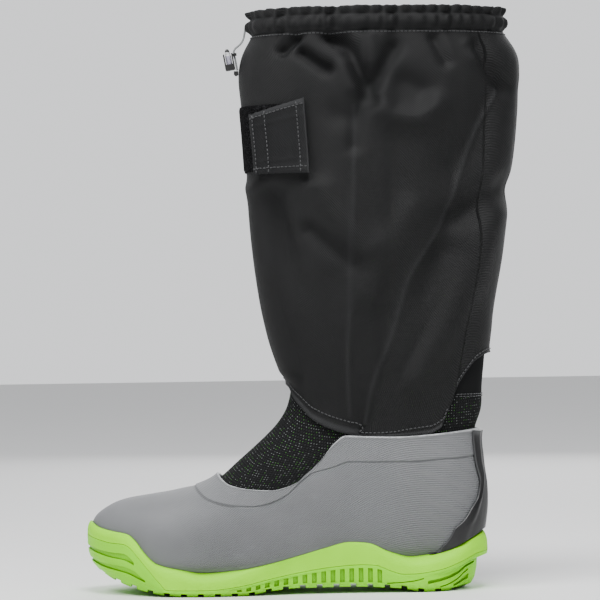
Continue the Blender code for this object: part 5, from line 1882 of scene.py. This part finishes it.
@dataclass
class Shell:
    """Moulded rubber lower with embossed ribs, a collar band and soft creases."""

    pitch: float = 0.0016
    side_rows: int = 64
    band_rows: int = 22
    edge_bead: float = 0.00045
    groove: float = 0.00030
    crease_depth: float = 0.0016
    crease_width: float = 0.010
    crease_start: float = 0.42
    rib_end: float = 0.60
    rib_start_row: int = 5
    back_rows: int = 12
    foot_shares: tuple[float, ...] = (0.0, 0.25, 0.5, 0.75)
    step_shares: tuple[float, ...] = (0.15, 0.35, 0.6, 0.85)
    slope: tuple[tuple[float, float], ...] = (
        (0.00, 0.0), (0.14, 0.0), (0.28, 0.45), (0.42, 0.85), (0.60, 0.80), (0.80, 0.55), (1.00, 0.40))

    def rib_turns(self, points: Array) -> Array:
        """Count ribs at points: level at the heel, rising backwards on the side.

        Args:
            points: Points on the shell.

        Returns:
            The count at each point.
        """
        stations = np.linspace(-0.1, 1.1, 241)
        lean = Curve(*zip(*self.slope))(stations)
        rise = np.concatenate([[0.0], np.cumsum((lean[1:] + lean[:-1]) / 2 * np.diff(stations))])
        shift = np.interp(station_at(-points[..., 1]), stations, rise * SOLE_LENGTH)
        return (points[..., 2] + shift) / self.pitch

    def build(self, material: Material) -> Thing:
        """Make the shell.

        Args:
            material: The finish.

        Returns:
            The piece's object.
        """
        loops = [(LOW.blend(FEATHER, t), 0.0, 0.0, 0.0) for t in self.foot_shares]
        for t in np.linspace(0.0, 1.0, self.side_rows):
            loops.append((FEATHER.blend(BAND_FOOT, t), 0.0, 0.0, 1.0))
        for t in self.step_shares:
            dip = self.groove * math.sin(math.pi * min(t / 0.7, 1.0))
            loops.append((BAND_FOOT.blend(BAND, t), BAND_STEP * float(smooth(t)) - dip, 0.0, 0.5))
        for t in np.linspace(0.0, 0.97, self.band_rows):
            bead = self.edge_bead * float(smooth((t - 0.86) / 0.08))
            loops.append((BAND.blend(COLLAR, t), BAND_STEP + bead, float(t > 0.94), 0.7))
        rows, edges, ribs, grooves = [], [], [], []
        first = len(loops) - self.band_rows - len(self.step_shares)
        for number, (loop, offset, edge, ribbed) in enumerate(loops):
            flat = loop.ring()
            crease = fold_move(flat, SHELL_CREASES, self.crease_depth, self.crease_width)
            station = station_at(-flat[:, 1])
            crease = crease * smooth((station - self.crease_start) / 0.1)
            rows.append(loop.ring(offset + crease * (len(self.foot_shares) < number < first)))
            # edges marks the top rows that get the painted highlight.
            edges.append(np.full(len(flat), edge))
            fade = 1 - smooth((station - self.rib_end) / 0.22)
            ribs.append(fade * ribbed * smooth((number - self.rib_start_row) / 4))
            # grooves marks the rows at the foot of the collar band that get the painted shade.
            grooves.append(np.full(len(flat), float(first <= number < first + 3)))
        lip = COLLAR.ring(BAND_STEP * 0.6)
        wall = [COLLAR.ring(-SHELL_WALL * 0.3), COLLAR.ring(-SHELL_WALL)]
        back = [BAND, *[BAND_FOOT.blend(FEATHER, t) for t in np.linspace(0, 1, self.back_rows)],
                LOW.blend(FEATHER, 0.5), LOW]
        wall += [loop.ring(-SHELL_WALL) for loop in back]
        rows += [lip, *wall]
        count = rows[0].shape[0]
        # The lip and the top of the inner wall get the painted highlight too.
        edges += [np.ones(count)] * 2 + [np.zeros(count)] * (len(wall) - 1)
        for marks in (ribs, grooves):
            marks += [np.zeros(count)] * (len(wall) + 1)
        points = np.array(rows)
        marks = {"rib": self.rib_turns(points), "fade": np.array(ribs), "edge": np.array(edges),
                 "groove": np.array(grooves)}
        return grid_object("shell_rubber", points, material, marks)


@dataclass
class HeelCounter:
    """Glossy backstay over the shell, with two ribs and a painted reflection low in its centre."""

    rows: int = 60
    columns: int = 56
    foot_share: float = 0.042
    head_share: float = 0.006
    search_section: float = 14.0
    search_angle: float = 2.6

    def build(self, material: Material) -> Thing:
        """Make the counter.

        Args:
            material: The finish.

        Returns:
            The piece's object.
        """
        edge = [np.array(LAST.locate(along_at(station), float(height_at(level)),
                                     self.search_section, self.search_angle))
                for _, station, level in COUNTER_EDGE]
        places = [row[0] for row in COUNTER_EDGE]
        bends = np.stack([Curve(places, [point[j] for point in edge])(
            np.linspace(0, 1, self.rows)) for j in (0, 1)], axis=1)
        low_line = half_line(FEATHER.blend(COLLAR, self.foot_share))
        high_line = half_line(COLLAR.blend(FEATHER, self.head_share))
        low_edge, high_edge = nearest_share(low_line, edge[0]), nearest_share(high_line, edge[-1])
        w = np.linspace(0.0, 1.0, self.columns)
        rib = Curve(*zip(*COUNTER_RIBS))(w)
        ends = (low_line(low_edge), high_line(high_edge))
        outer, inner = [], []
        for share, rim in zip(np.linspace(0, 1, self.rows), bends):
            low = low_line(low_edge + (1 - low_edge) * w)
            high = high_line(high_edge + (1 - high_edge) * w)
            spot = low + (high - low) * share
            bend = (rim - (ends[0] + (ends[1] - ends[0]) * share)) * (1 - w[:, None])
            spot = spot + bend * float(smooth(share / 0.10) * smooth((1 - share) / 0.08))
            plane = np.vstack([spot, spot[-2::-1] * (1, -1)])
            ridge = np.concatenate([rib, rib[-2::-1]])
            clear = COUNTER_GAP + BAND_STEP * float(smooth((share - 0.5) / 0.2))
            rim_drop = smooth(np.minimum(np.arange(len(plane)), np.arange(len(plane))[::-1]) / 2.0)
            top = clear + COUNTER_WALL * (0.55 + 0.45 * rim_drop) + ridge * COUNTER_RIB
            outer.append(LAST.at(plane[:, 0], plane[:, 1], top))
            inner.append(LAST.at(plane[:, 0], plane[:, 1], np.full(len(plane), clear)))
        points = np.array(outer)
        wide = points.shape[1]
        from_edge = np.minimum(np.arange(wide), np.arange(wide)[::-1]) / (wide / 2)
        # rim_mark places the painted highlight along the side edges and the top.
        rim_mark = np.tile((from_edge < 0.035).astype(float), (self.rows, 1))
        rim_mark[-2:] = 1.0
        # centre marks where the painted reflection goes.
        centre = np.tile(smooth((from_edge - 0.72) / 0.1), (self.rows, 1))
        return panel("heel_backstay", points, np.array(inner), material,
                     {"edge": rim_mark, "centre": centre})


def half_line(loop: Loop) -> Callable[[Array | float], Array]:
    """Plane coordinates along the outer half of a loop, by share of length.

    Args:
        loop: The loop.

    Returns:
        A function from shares to coordinates.
    """
    p, q = loop.p[:COLUMNS + 1], loop.q[:COLUMNS + 1]
    return lambda share: np.stack([np.interp(share, spacing(COLUMNS), p),
                                   np.interp(share, spacing(COLUMNS), q)], axis=-1)


def nearest_share(line: Callable[[Array], Array], target: Array) -> float:
    """Share of a half loop's length that lies nearest a point of the plane.

    Args:
        line: The half loop, from half_line.
        target: The point.

    Returns:
        The share.
    """
    shares = np.linspace(0.5, 1.0, 401)
    return float(shares[np.argmin(np.linalg.norm(line(shares) - target, axis=1))])


@dataclass
class Bootie:
    """Knitted sock: its neck shows above the shell's edge."""

    neck_rows: int = 60
    join_rows: int = 12
    foot_rows: int = 24
    side_top: float = 0.56
    rear_top: float = 0.86
    seam_height: float = 0.1435
    seam_gap: float = 0.0016
    seam_points: int = 60
    seam_reach: tuple[float, float] = (0.78, 1.22)

    def wall(self, name: str, loops: list[Loop], rooms: Array,
             material: Material) -> Thing:
        """Make a knitted wall over loops, outside and inside.

        Args:
            name: The piece's name.
            loops: Loops from the lower edge up.
            rooms: How far inside the shell each loop lies.
            material: The finish.

        Returns:
            The piece's object.
        """
        outer = -SHELL_WALL - GAP - rooms
        rows = [loop.ring(offset) for loop, offset in zip(loops, outer)]
        rows += [loop.ring(offset - KNIT_WALL) for loop, offset in zip(loops[::-1], outer[::-1])]
        points = np.array(rows)
        along, up = -points[..., 1], points[..., 2]
        plain = smooth((up - self.seam_height + 0.001) / 0.001) * (along < HEEL_BACK)
        return grid_object(name, points, material, {"smooth": plain})

    def build(self, material: Material) -> list[Thing]:
        """Make the sock's neck and foot.

        Args:
            material: The finish.

        Returns:
            The two pieces' objects.
        """
        join = np.linspace(0, 1, self.join_rows, endpoint=False)
        loops = [BAND_FOOT.blend(COLLAR, t) for t in join]
        rooms = [SOCK_ROOM / 2 * t for t in join]
        turn = np.linspace(0, 2 * np.pi, 2 * COLUMNS, endpoint=False)
        back = smooth((np.cos(turn) * -1 - 0.1) / 0.5)
        for t in np.linspace(0.0, 1.0, self.neck_rows):
            top = self.side_top + (self.rear_top - self.side_top) * back
            loops.append(COLLAR.blend(SOCK, t * top))
            rooms.append(SOCK_ROOM * (0.5 + 0.5 * min(t * self.side_top / 0.14, 1.0)))
        neck = self.wall("sock_neck", loops, np.array(rooms), material)
        low = [LOW.blend(FEATHER, t) for t in (0.0, 0.5)]
        low += [FEATHER.blend(BAND_FOOT, t) for t in np.linspace(0, 0.75, self.foot_rows)]
        foot_rooms = np.array([SOCK_ROOM / 4] + [SOCK_ROOM] * (len(low) - 1))
        return [neck, self.wall("sock_foot", low, foot_rooms, material)]

    def seam(self) -> list[Array]:
        """Line of the stitched seam behind the ankle.

        Returns:
            Its two rows of stitches.
        """
        lines = []
        for drop in (0.0, self.seam_gap):
            points = []
            for share in np.linspace(*self.seam_reach, self.seam_points):
                line = self.column(int(share * COLUMNS) % (2 * COLUMNS))
                above = line[:, 2] - (self.seam_height + 0.002 - drop)
                points.append(line[int(np.argmin(np.abs(above)))])
            lines.append(np.array(points))
        return lines

    def column(self, k: int) -> Array:
        """Points up one column of the sock's neck, just outside it.

        Args:
            k: The column.

        Returns:
            The points.
        """
        shares = np.linspace(0.0, self.side_top, 2 * COLUMNS)
        p = COLLAR.p[k] + (SOCK.p[k] - COLLAR.p[k]) * shares
        q = COLLAR.q[k] + (SOCK.q[k] - COLLAR.q[k]) * shares
        return LAST.at(p, q, np.full(len(shares), -SHELL_WALL - GAP - SOCK_ROOM + STITCH_LIFT))


@dataclass
class Gaiter:
    """Twill shaft with a scalloped edge, listed folds and raised seams."""

    low_rows: int = 46
    high_rows: int = 120
    fold_depth: float = 0.0078
    fold_width: float = 0.013
    seam_height: float = 0.0011
    seam_width: float = 0.0016
    edge_roll: float = 0.00035
    flap_low: float = 0.300
    flap_high: float = 0.365
    flap_back: float = 0.074
    flutter: float = 0.0007

    def shape(self) -> tuple[list[Loop], Array, Array]:
        """Loops from the lower edge to the hem, their offsets and their levels.

        Returns:
            The loops, how far each is moved outwards, and how far up the shaft it is.
        """
        start = hem_shares(COLLAR, SOCK)
        sink = SHELL_WALL - TWILL_WALL
        loops, offsets, free = [], [], []
        for share in np.linspace(0.0, 1.0, self.low_rows, endpoint=False):
            loops.append(COLLAR.blend(SOCK, start + (1 - start) * share))
            offsets.append(-sink * (1 - float(smooth(share / 0.7))))
            free.append(share)
        for share in np.linspace(0.0, 1.0, self.high_rows):
            loops.append(SOCK.blend(TOP, share))
            offsets.append(0.0)
            free.append(1.0 + share)
        return loops, np.array(offsets), np.array(free)

    def move(self, flat: Array, free: float) -> Array:
        """How far the folds and seams move a ring of the cloth.

        Args:
            flat: The ring on the last.
            free: How far up the shaft it is, from 0 to 2.

        Returns:
            The move outwards at each point.
        """
        along, up = -flat[:, 1], flat[:, 2]
        folds = fold_move(flat, GAITER_FOLDS, self.fold_depth, self.fold_width)
        inward = float(smooth((free - 0.85) / 0.35))
        folds = np.where(folds < 0, folds * inward, folds * float(smooth(free / 0.25)))
        under = smooth((up - self.flap_low) / 0.012) * (1 - smooth((up - self.flap_high) / 0.008))
        hold = 1 - under * smooth((along - self.flap_back) / 0.018)
        folds = folds * hold
        folds = folds * float(1 - smooth((free - 1.965) / 0.035))
        seams = fold_move(flat, GAITER_SEAMS, self.seam_height, self.seam_width)
        centre = np.exp(-(flat[:, 0] / 0.0022) ** 2) * (along < HEEL_BACK) * 0.0008
        flutter = self.flutter * np.sin(along * 160 + np.sign(flat[:, 0]))
        flutter = flutter * float(1 - smooth(free / 0.22))
        return folds + (seams + centre) * hold + flutter * (1 - inward)

    def build(self, material: Material) -> Thing:
        """Make the shaft.

        Args:
            material: The finish.

        Returns:
            The piece's object.
        """
        loops, offsets, free = self.shape()
        rows, edges, inner = [], [], []
        for number, (loop, offset, level) in enumerate(zip(loops, offsets, free)):
            flat = loop.ring()
            move = self.move(flat, float(level))
            fold = self.edge_roll * float(1 - smooth((number - 1) / 2.0))
            rows.append(loop.ring(offset + move + fold))
            inner.append(loop.ring(offset + move - TWILL_WALL))
            # The edge mark places a painted highlight on the raised seams, the centre back and the
            # rolled lower edge.
            seam = fold_move(flat, GAITER_SEAMS, 1.0, self.seam_width)
            back = np.exp(-(flat[:, 0] / 0.0018) ** 2) * (-flat[:, 1] < HEEL_BACK)
            edges.append(np.clip(seam * 0.45 + back * 0.6 + float(number < 3) * 0.8, 0.0, 1.0))
        picks = list(range(len(inner) - 1, -1, -3))
        points = np.array(rows + [inner[k] for k in picks])
        marks = np.array(edges + [np.zeros(points.shape[1])] * len(picks))
        return grid_object("gaiter_twill", points, material, {"edge": marks})

    def lines(self) -> list[Array]:
        """Lines of stitches above the lower edge and under the hem.

        Returns:
            The lines.
        """
        loops, offsets, free = self.shape()
        found = []
        for number in (5, len(loops) - 3):
            flat = loops[number].ring()
            move = self.move(flat, float(free[number]))
            ring = loops[number].ring(offsets[number] + move + STITCH_LIFT)
            found.append(np.vstack([ring, ring[:1]]))
        return found


@dataclass
class Hem:
    """Gathered channel round the top, with a ruffled lip over it."""

    rows: int = 56
    columns: int = 720
    gathers: int = 46
    gather_depth: float = 0.0046
    lift: float = 0.0011
    dip: float = 0.0009
    seed: int = 7
    profile: tuple[tuple[float, float, float], ...] = (
        (0.04, -0.04, 0.0), (0.16, 0.07, 0.5), (0.34, 0.18, 1.0), (0.42, 0.32, 1.1),
        (0.38, 0.46, 1.0), (0.20, 0.57, 0.5), (0.08, 0.63, 0.3), (0.14, 0.72, 1.0),
        (0.20, 0.86, 1.6), (0.17, 0.98, 1.9), (0.10, 1.00, 1.9), (0.02, 0.94, 1.7),
        (-0.03, 0.80, 1.2), (-0.10, 0.66, 0.5), (-0.32, 0.58, 0.6), (-0.47, 0.44, 0.7),
        (-0.44, 0.28, 0.7), (-0.30, 0.10, 0.4), (-0.21, -0.06, 0.0))

    def build(self, material: Material) -> Thing:
        """Make the hem.

        Args:
            material: The finish.

        Returns:
            The piece's object.
        """
        spots = np.linspace(0.0, 2 * COLUMNS, self.columns, endpoint=False)
        ring = TOP.ring()
        closed = np.vstack([ring, ring[:1]])
        base = np.stack([np.interp(spots, np.arange(len(closed)), closed[:, j]) for j in range(3)],
                        axis=1)
        ahead = np.roll(base, -2, axis=0) - np.roll(base, 2, axis=0)
        outward = np.stack([ahead[:, 1], -ahead[:, 0], np.zeros(len(base))], axis=1)
        outward /= np.linalg.norm(outward, axis=1, keepdims=True)
        outward *= np.sign(np.sum(outward * (base - base.mean(axis=0)), axis=1, keepdims=True))
        luck = np.random.default_rng(self.seed)
        steps = np.linalg.norm(np.roll(base, -1, axis=0) - base, axis=1)
        turn = np.concatenate([[0.0], np.cumsum(steps)])[:-1] / steps.sum()
        drift = sum(luck.uniform(0.25, 0.9) * np.sin(2 * np.pi * (turn * k + luck.uniform()))
                    for k in (3, 5, 8, 13))
        waves = np.sin(2 * np.pi * turn * self.gathers + drift * 1.3)
        second = np.sin(2 * np.pi * turn * self.gathers * 0.5 + drift * 0.7 + 1.0)
        swell = 0.7 + 0.3 * np.sin(2 * np.pi * (turn * 11 + 0.3))
        gather = (0.65 * waves + 0.35 * second) * swell
        height = TOP_HEIGHT - SEAM_HEIGHT
        shape = dense(self.profile, self.rows)
        rows = []
        for out, up, push in shape:
            reach = out * HEM_THICKNESS * 1.15 + push * gather * self.gather_depth * 0.5
            ring = base + outward * reach[:, None]
            lift = self.lift * drift * 0.35 * float(smooth((up - 0.62) / 0.3))
            dip = self.dip * np.abs(gather) * float(smooth((up - 0.70) / 0.3))
            ring[:, 2] = SEAM_HEIGHT + GAP + up * (height - GAP) - np.abs(lift) - dip
            rows.append(ring)
        # The edge mark places a painted highlight on the top of the lip.
        return grid_object("hem_gathers", np.array(rows), material,
                           {"edge": np.tile((shape[:, 1] > 0.95)[:, None] * 0.6, (1, len(base)))})


@dataclass
class Closure:
    """Touch closure: a loop pile patch round the front, and the flap pressed on it."""

    patch_rows: int = 60
    patch_cut: int = 3
    flap_rows: int = 44
    corner_lift: float = 0.0022
    search_cells: int = 9
    stitch_columns: tuple[float, ...] = (0.09, 0.30, 0.88)
    stitch_rows: tuple[float, ...] = (0.07, 0.92)

    def patch(self, material: Material) -> Thing:
        """Make the patch.

        Args:
            material: The finish.

        Returns:
            The piece's object.
        """
        scale = COLUMNS // COARSE_COLUMNS
        picks = np.arange(-PATCH_REACH[1] * scale, PATCH_REACH[0] * scale + 1) % (2 * COLUMNS)
        low, high = PATCH_ROWS
        picks = picks[:len(picks) - self.patch_cut * scale]
        outer, inner = [], []
        for t in np.linspace(0.0, 1.0, self.patch_rows):
            section = low + (high - low) * t
            loop = SOCK.blend(TOP, (section - SOCK_TOP) / (SHAFT_TOP - SOCK_TOP))
            round_off = 0.6 + 0.4 * float(smooth(min(t, 1 - t) / 0.05))
            outer.append(loop.ring(GAP + PATCH_WALL * round_off)[picks])
            inner.append(loop.ring(GAP)[picks])
        return panel("loop_pile_patch", np.array(outer), np.array(inner), material)

    def flap_place(self) -> tuple[Array, Array]:
        """The flap's places in the last's plane, over its rows and columns.

        Returns:
            First and second coordinates.
        """
        corners = [np.array([along_at(station), float(height_at(level))])
                   for station, level in FLAP_CORNERS]
        cells = self.search_cells
        coarse = np.zeros((cells, cells, 2))
        for i, v in enumerate(np.linspace(0, 1, cells)):
            left = corners[0] + (corners[3] - corners[0]) * v
            right = corners[1] + (corners[2] - corners[1]) * v
            for j, w in enumerate(np.linspace(0, 1, cells)):
                spot = left + (right - left) * w
                coarse[i, j] = LAST.locate(spot[0], spot[1], SHAFT_TOP - 4.0, 1.2)
        fine, marks = np.linspace(0, cells - 1, self.flap_rows), range(cells)
        rows = np.stack([[np.interp(fine, marks, line[:, j]) for line in coarse]
                         for j in (0, 1)], axis=-1)
        full = np.stack([[np.interp(fine, marks, rows[:, k, j]) for k in range(self.flap_rows)]
                         for j in (0, 1)], axis=-1).transpose(1, 0, 2)
        return full[..., 0], full[..., 1]

    def flap(self, material: Material) -> tuple[Thing, list[Array]]:
        """Make the flap, and the lines of its stitches.

        Args:
            material: The finish.

        Returns:
            The flap's object and the lines.
        """
        p, q = self.flap_place()
        low = GAP + PATCH_WALL + FLAP_GAP
        v, w = np.meshgrid(np.linspace(0, 1, self.flap_rows), np.linspace(0, 1, self.flap_rows),
                           indexing="ij")
        lift = self.corner_lift * smooth((v - 0.80) / 0.20) * (0.4 + 0.6 * w)
        border = smooth(np.minimum(np.minimum(v, 1 - v), np.minimum(w, 1 - w)) / 0.05)
        bands = 0.0004 * (np.exp(-((v - 0.22) / 0.03) ** 2) + np.exp(-((v - 0.80) / 0.03) ** 2))
        pads = 0.0005 * smooth((np.abs(w - 0.5) - 0.26) / 0.06)
        top = low + FLAP_WALL * (0.7 + 0.3 * border) + lift + bands + pads
        outer = LAST.at(p, q, top)
        inner = LAST.at(p, q, np.full(p.shape, low) + lift)
        # The edge mark places a painted highlight along the flap's top and back edges.
        edge = ((v < 0.05) | (w > 0.985)).astype(float)
        obj = panel("closure_flap", outer, inner, material, {"edge": edge})
        lines = []
        for column in self.stitch_columns:
            k = int(column * (self.flap_rows - 1))
            lines.append(LAST.at(p[2:-2, k], q[2:-2, k], top[2:-2, k] + FLAP_STITCH_LIFT))
        for row in self.stitch_rows:
            k = int(row * (self.flap_rows - 1))
            lines.append(LAST.at(p[k, 2:-2], q[k, 2:-2], top[k, 2:-2] + FLAP_STITCH_LIFT))
        return obj, lines


@dataclass
class Sole:
    """Bright rubber outsole with its relief, and the foam midsole above it."""

    outsole_steps: int = 17
    midsole_steps: int = 16
    floor_cells: int = 6
    tread_cells: int = 8
    outsole_angle: float = math.radians(32)
    midsole_angle: float = math.radians(35)

    def outsole(self, material: Material) -> Thing:
        """Make the outsole: toe guard, slotted arch, barred heel and lugs.

        Args:
            material: The finish.

        Returns:
            The piece's object.
        """
        bm = bmesh.new()
        table = np.array(OUTSOLE_PROFILE)[:, 0]
        shares = np.unique(np.concatenate([table, np.linspace(0, 1, self.outsole_steps)]))
        skin = [outsole_ring(share) for share in shares[::-1]]
        rows = join_rings(bm, [*seat_rings(0.0, 0.0)[::-1], *skin])
        cap_across(bm, rows[0], seat_height, self.floor_cells)
        cap_across(bm, rows[-1], tread_height, self.tread_cells)
        obj = add_object("outsole_rubber", mesh_of("outsole_rubber", bm))
        tools = [lug_cutter(), side_cutter()]
        for tool in tools:
            cut(obj, tool)
        graph = bpy.context.evaluated_depsgraph_get()
        solid = bpy.data.meshes.new_from_object(obj.evaluated_get(graph), depsgraph=graph)
        obj.modifiers.clear()
        obj.data = solid
        for tool in tools:
            bpy.data.objects.remove(tool)
        solid.shade_smooth()
        solid.set_sharp_from_angle(angle=self.outsole_angle)
        solid.materials.clear()
        solid.materials.append(material)
        return obj

    def midsole(self, material: Material) -> Thing:
        """Make the midsole with its wavy lip.

        Args:
            material: The finish.

        Returns:
            The piece's object.
        """
        bm = bmesh.new()
        cup = [loop.ring(GAP) for loop in (LOW, LOW.blend(FEATHER, 0.5), FEATHER)]
        floor = LOW.ring(GAP)
        floor[:, 2] = footbed_height(-floor[:, 1])
        lip = FEATHER.ring(GAP + LIP_WALL)
        base = parting_height(OUTLINE[:, 0]) + GAP
        line = Curve(*zip(*MIDSOLE_PROFILE))
        skin = []
        edge = OUTLINE - OUTWARD * outsole_inset(1.0)[:, None]
        side = np.stack([-lip[:, 1], lip[:, 0]], axis=1)
        for share in np.linspace(1.0, 0.0, self.midsole_steps):
            plan = edge + (side - edge) * float(line(share))
            ring = place(plan[:, 0], plan[:, 1], base + (lip[:, 2] - base) * share)
            skin.append(ring)
        rows = join_rings(bm, [floor, *cup, *skin, *seat_rings(GAP, GAP)])
        cap_across(bm, rows[0], footbed_height, self.floor_cells)
        cap_across(bm, rows[-1], lambda along: seat_height(along) + GAP, self.floor_cells)
        mesh = mesh_of("midsole_foam", bm)
        mesh.shade_smooth()
        mesh.set_sharp_from_angle(angle=self.midsole_angle)
        mesh.materials.append(material)
        return add_object("midsole_foam", mesh)


@dataclass
class Studio:
    """Plain pale floor, soft lights and the camera at the photograph's angle."""

    distance: float = 2.3
    roll: float = math.radians(0.85)
    along: float = 0.1052
    height: float = 0.2173
    lens: float = 183.7
    sensor: float = 36.0
    sky: float = 0.22
    sky_colour: Colour = (0.97, 0.98, 1.0)
    floor_reach: float = 6.0
    target: tuple[float, float, float] = (0.0, -0.1, 0.18)
    lamps: tuple[tuple[str, tuple[float, float, float], float, float], ...] = (
        ("key_light", (0.9, -1.1, 1.7), 0.7, 26.0), ("fill_light", (1.6, 0.7, 0.7), 1.6, 7.0),
        ("top_light", (0.75, -0.05, 1.75), 0.6, 34.0), ("back_light", (-1.6, 0.2, 0.9), 1.4, 10.0))

    def camera(self) -> None:
        """Set the camera square to the outer side, a little rolled."""
        data = bpy.data.cameras.new("camera")
        data.lens, data.sensor_width, data.clip_end = self.lens, self.sensor, 20.0
        obj = bpy.data.objects.new("camera", data)
        c, s = math.cos(self.roll), math.sin(self.roll)
        turn = Matrix(((0.0, 0.0, 1.0), (c, s, 0.0), (-s, c, 0.0))).to_4x4()
        turn.translation = (self.distance, -self.along, self.height)
        obj.matrix_world = turn
        bpy.context.collection.objects.link(obj)
        bpy.context.scene.camera = obj

    def light(self, name: str, spot: Sequence[float], size: float, power: float) -> None:
        """Add a soft lamp aimed at the boot's middle.

        Args:
            name: The lamp's name.
            spot: Where it stands.
            size: Its width.
            power: Its power in watts.
        """
        data = bpy.data.lights.new(name, "AREA")
        data.size, data.energy = size, power
        obj = bpy.data.objects.new(name, data)
        obj.location = spot
        aim = Vector(spot) - Vector(self.target)
        obj.rotation_euler = aim.to_track_quat("Z", "Y").to_euler()
        bpy.context.collection.objects.link(obj)

    def soft_sky(self, tree: NodeTree, sky: bpy.types.Node) -> None:
        """Make the sky bright overhead and behind the boot's inner side.

        Args:
            tree: The world's nodes.
            sky: Its background node.
        """
        way = tree.nodes.new("ShaderNodeTexCoord").outputs["Generated"]
        split = tree.nodes.new("ShaderNodeSeparateXYZ")
        tree.links.new(way, split.inputs[0])
        total = None
        for part, low, high, strength in ((0, -0.35, -0.85, 0.95), (2, 0.25, 0.80, 0.45)):
            ramp = tree.nodes.new("ShaderNodeMapRange")
            ramp.interpolation_type = "SMOOTHSTEP"
            for k, given in enumerate((low, high, 0.0, strength), start=1):
                ramp.inputs[k].default_value = given
            tree.links.new(split.outputs[part], ramp.inputs[0])
            add = tree.nodes.new("ShaderNodeMath")
            add.inputs[1].default_value = self.sky
            tree.links.new(ramp.outputs[0], add.inputs[0])
            if total is not None:
                tree.links.new(total, add.inputs[1])
            total = add.outputs[0]
        tree.links.new(total, sky.inputs["Strength"])

    def build(self, floor: Material) -> None:
        """Make floor, lights, sky and camera.

        Args:
            floor: The floor's finish.
        """
        mesh = bpy.data.meshes.new("studio_floor")
        bm = bmesh.new()
        bmesh.ops.create_grid(bm, x_segments=2, y_segments=2, size=self.floor_reach)
        bm.to_mesh(mesh)
        bm.free()
        mesh.materials.append(floor)
        add_object("studio_floor", mesh)
        for lamp in self.lamps:
            self.light(*lamp)
        world = bpy.data.worlds.new("soft_sky")
        world.use_nodes = True
        sky = world.node_tree.nodes["Background"]
        sky.inputs["Color"].default_value = (*self.sky_colour, 1.0)
        self.soft_sky(world.node_tree, sky)
        bpy.context.scene.world = world
        self.camera()


def report(piece: Thing, *nodes: str, slot: str | None = None) -> None:
    """Fix a piece to the boot's body, hide the CAD nodes that it replaces, and log it.

    Args:
        piece: The piece.
        *nodes: The CAD nodes that it replaces.
        slot: Their material slot; not used.
    """
    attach(piece, BODY)
    if nodes:
        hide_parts(*nodes)
    LOG.info("%s: %d faces", piece.name, len(piece.data.polygons))


def dress(node: Thing, material: Material) -> None:
    """Give a carried-over solid a better finish."""
    for slot in node.material_slots:
        slot.material = material
    LOG.info("%s dressed", node.name)


def main() -> None:
    """Build the boot's pieces in order, then the studio."""
    logging.basicConfig(level=logging.INFO, format="%(name)s %(message)s")
    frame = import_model()
    sole = Sole()
    green = SoleRubber((0.26, 0.80, 0.0))
    report(sole.outsole(green.build("sole_rubber")), "outsole", slot="sole_rubber")
    foam = SoleRubber((0.31, 0.84, 0.0), 0.52)
    report(sole.midsole(foam.build("midsole_foam")), "midsole", slot="midsole_foam")
    report(Shell().build(RibbedRubber().build("shell_rubber")), "shell", slot="shell_rubber")
    report(HeelCounter().build(GlossRubber().build("counter_rubber")), "heel_counter",
           slot="counter_rubber")
    bootie = Bootie()
    neck, foot = bootie.build(MeshKnit().build("knit"))
    report(neck, "bootie", slot="knit")
    report(foot, "bootie_foot", slot="knit")
    gaiter = Gaiter()
    report(gaiter.build(Twill().build("twill")), "gaiter", slot="twill")
    report(Hem().build(Twill().build("hem_twill")), "hem_channel", slot="hem_twill")
    closure = Closure()
    report(closure.patch(LoopPile().build("loop_pile")), "loop_patch", slot="loop_pile")
    flap, flap_lines = closure.flap(Twill((0.0045, 0.0046, 0.0050)).build("tab_twill"))
    report(flap, "strap_tab", slot="tab_twill")
    thread = Thread().build("thread")
    stitch = StitchRun()
    tree = stitch.tree()
    report(stitch.sew("flap_stitches", flap_lines, thread, tree))
    report(stitch.sew("gaiter_stitches", gaiter.lines(), thread, tree))
    report(stitch.sew("sock_seam_stitches", bootie.seam(), thread, tree))
    nodes = frame["nodes"]
    low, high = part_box("lock_plunger")
    dress(nodes["insole"], FootbedFoam().build("insole_foam"))
    dress(nodes["drawcord"], BraidedCord().build("cord"))
    dress(nodes["lock_housing"], Plastic((0.012, 0.012, 0.012), 0.38).build("lock_plastic"))
    dress(nodes["lock_plunger"], LockBarrel(low[2], high[2]).build("plunger_plastic"))
    dress(nodes["cord_end"], Plastic((0.011, 0.011, 0.011), 0.45).build("tab_plastic"))
    Studio().build(PaleFloor().build("pale_floor"))


if __name__ == "__main__":
    main()
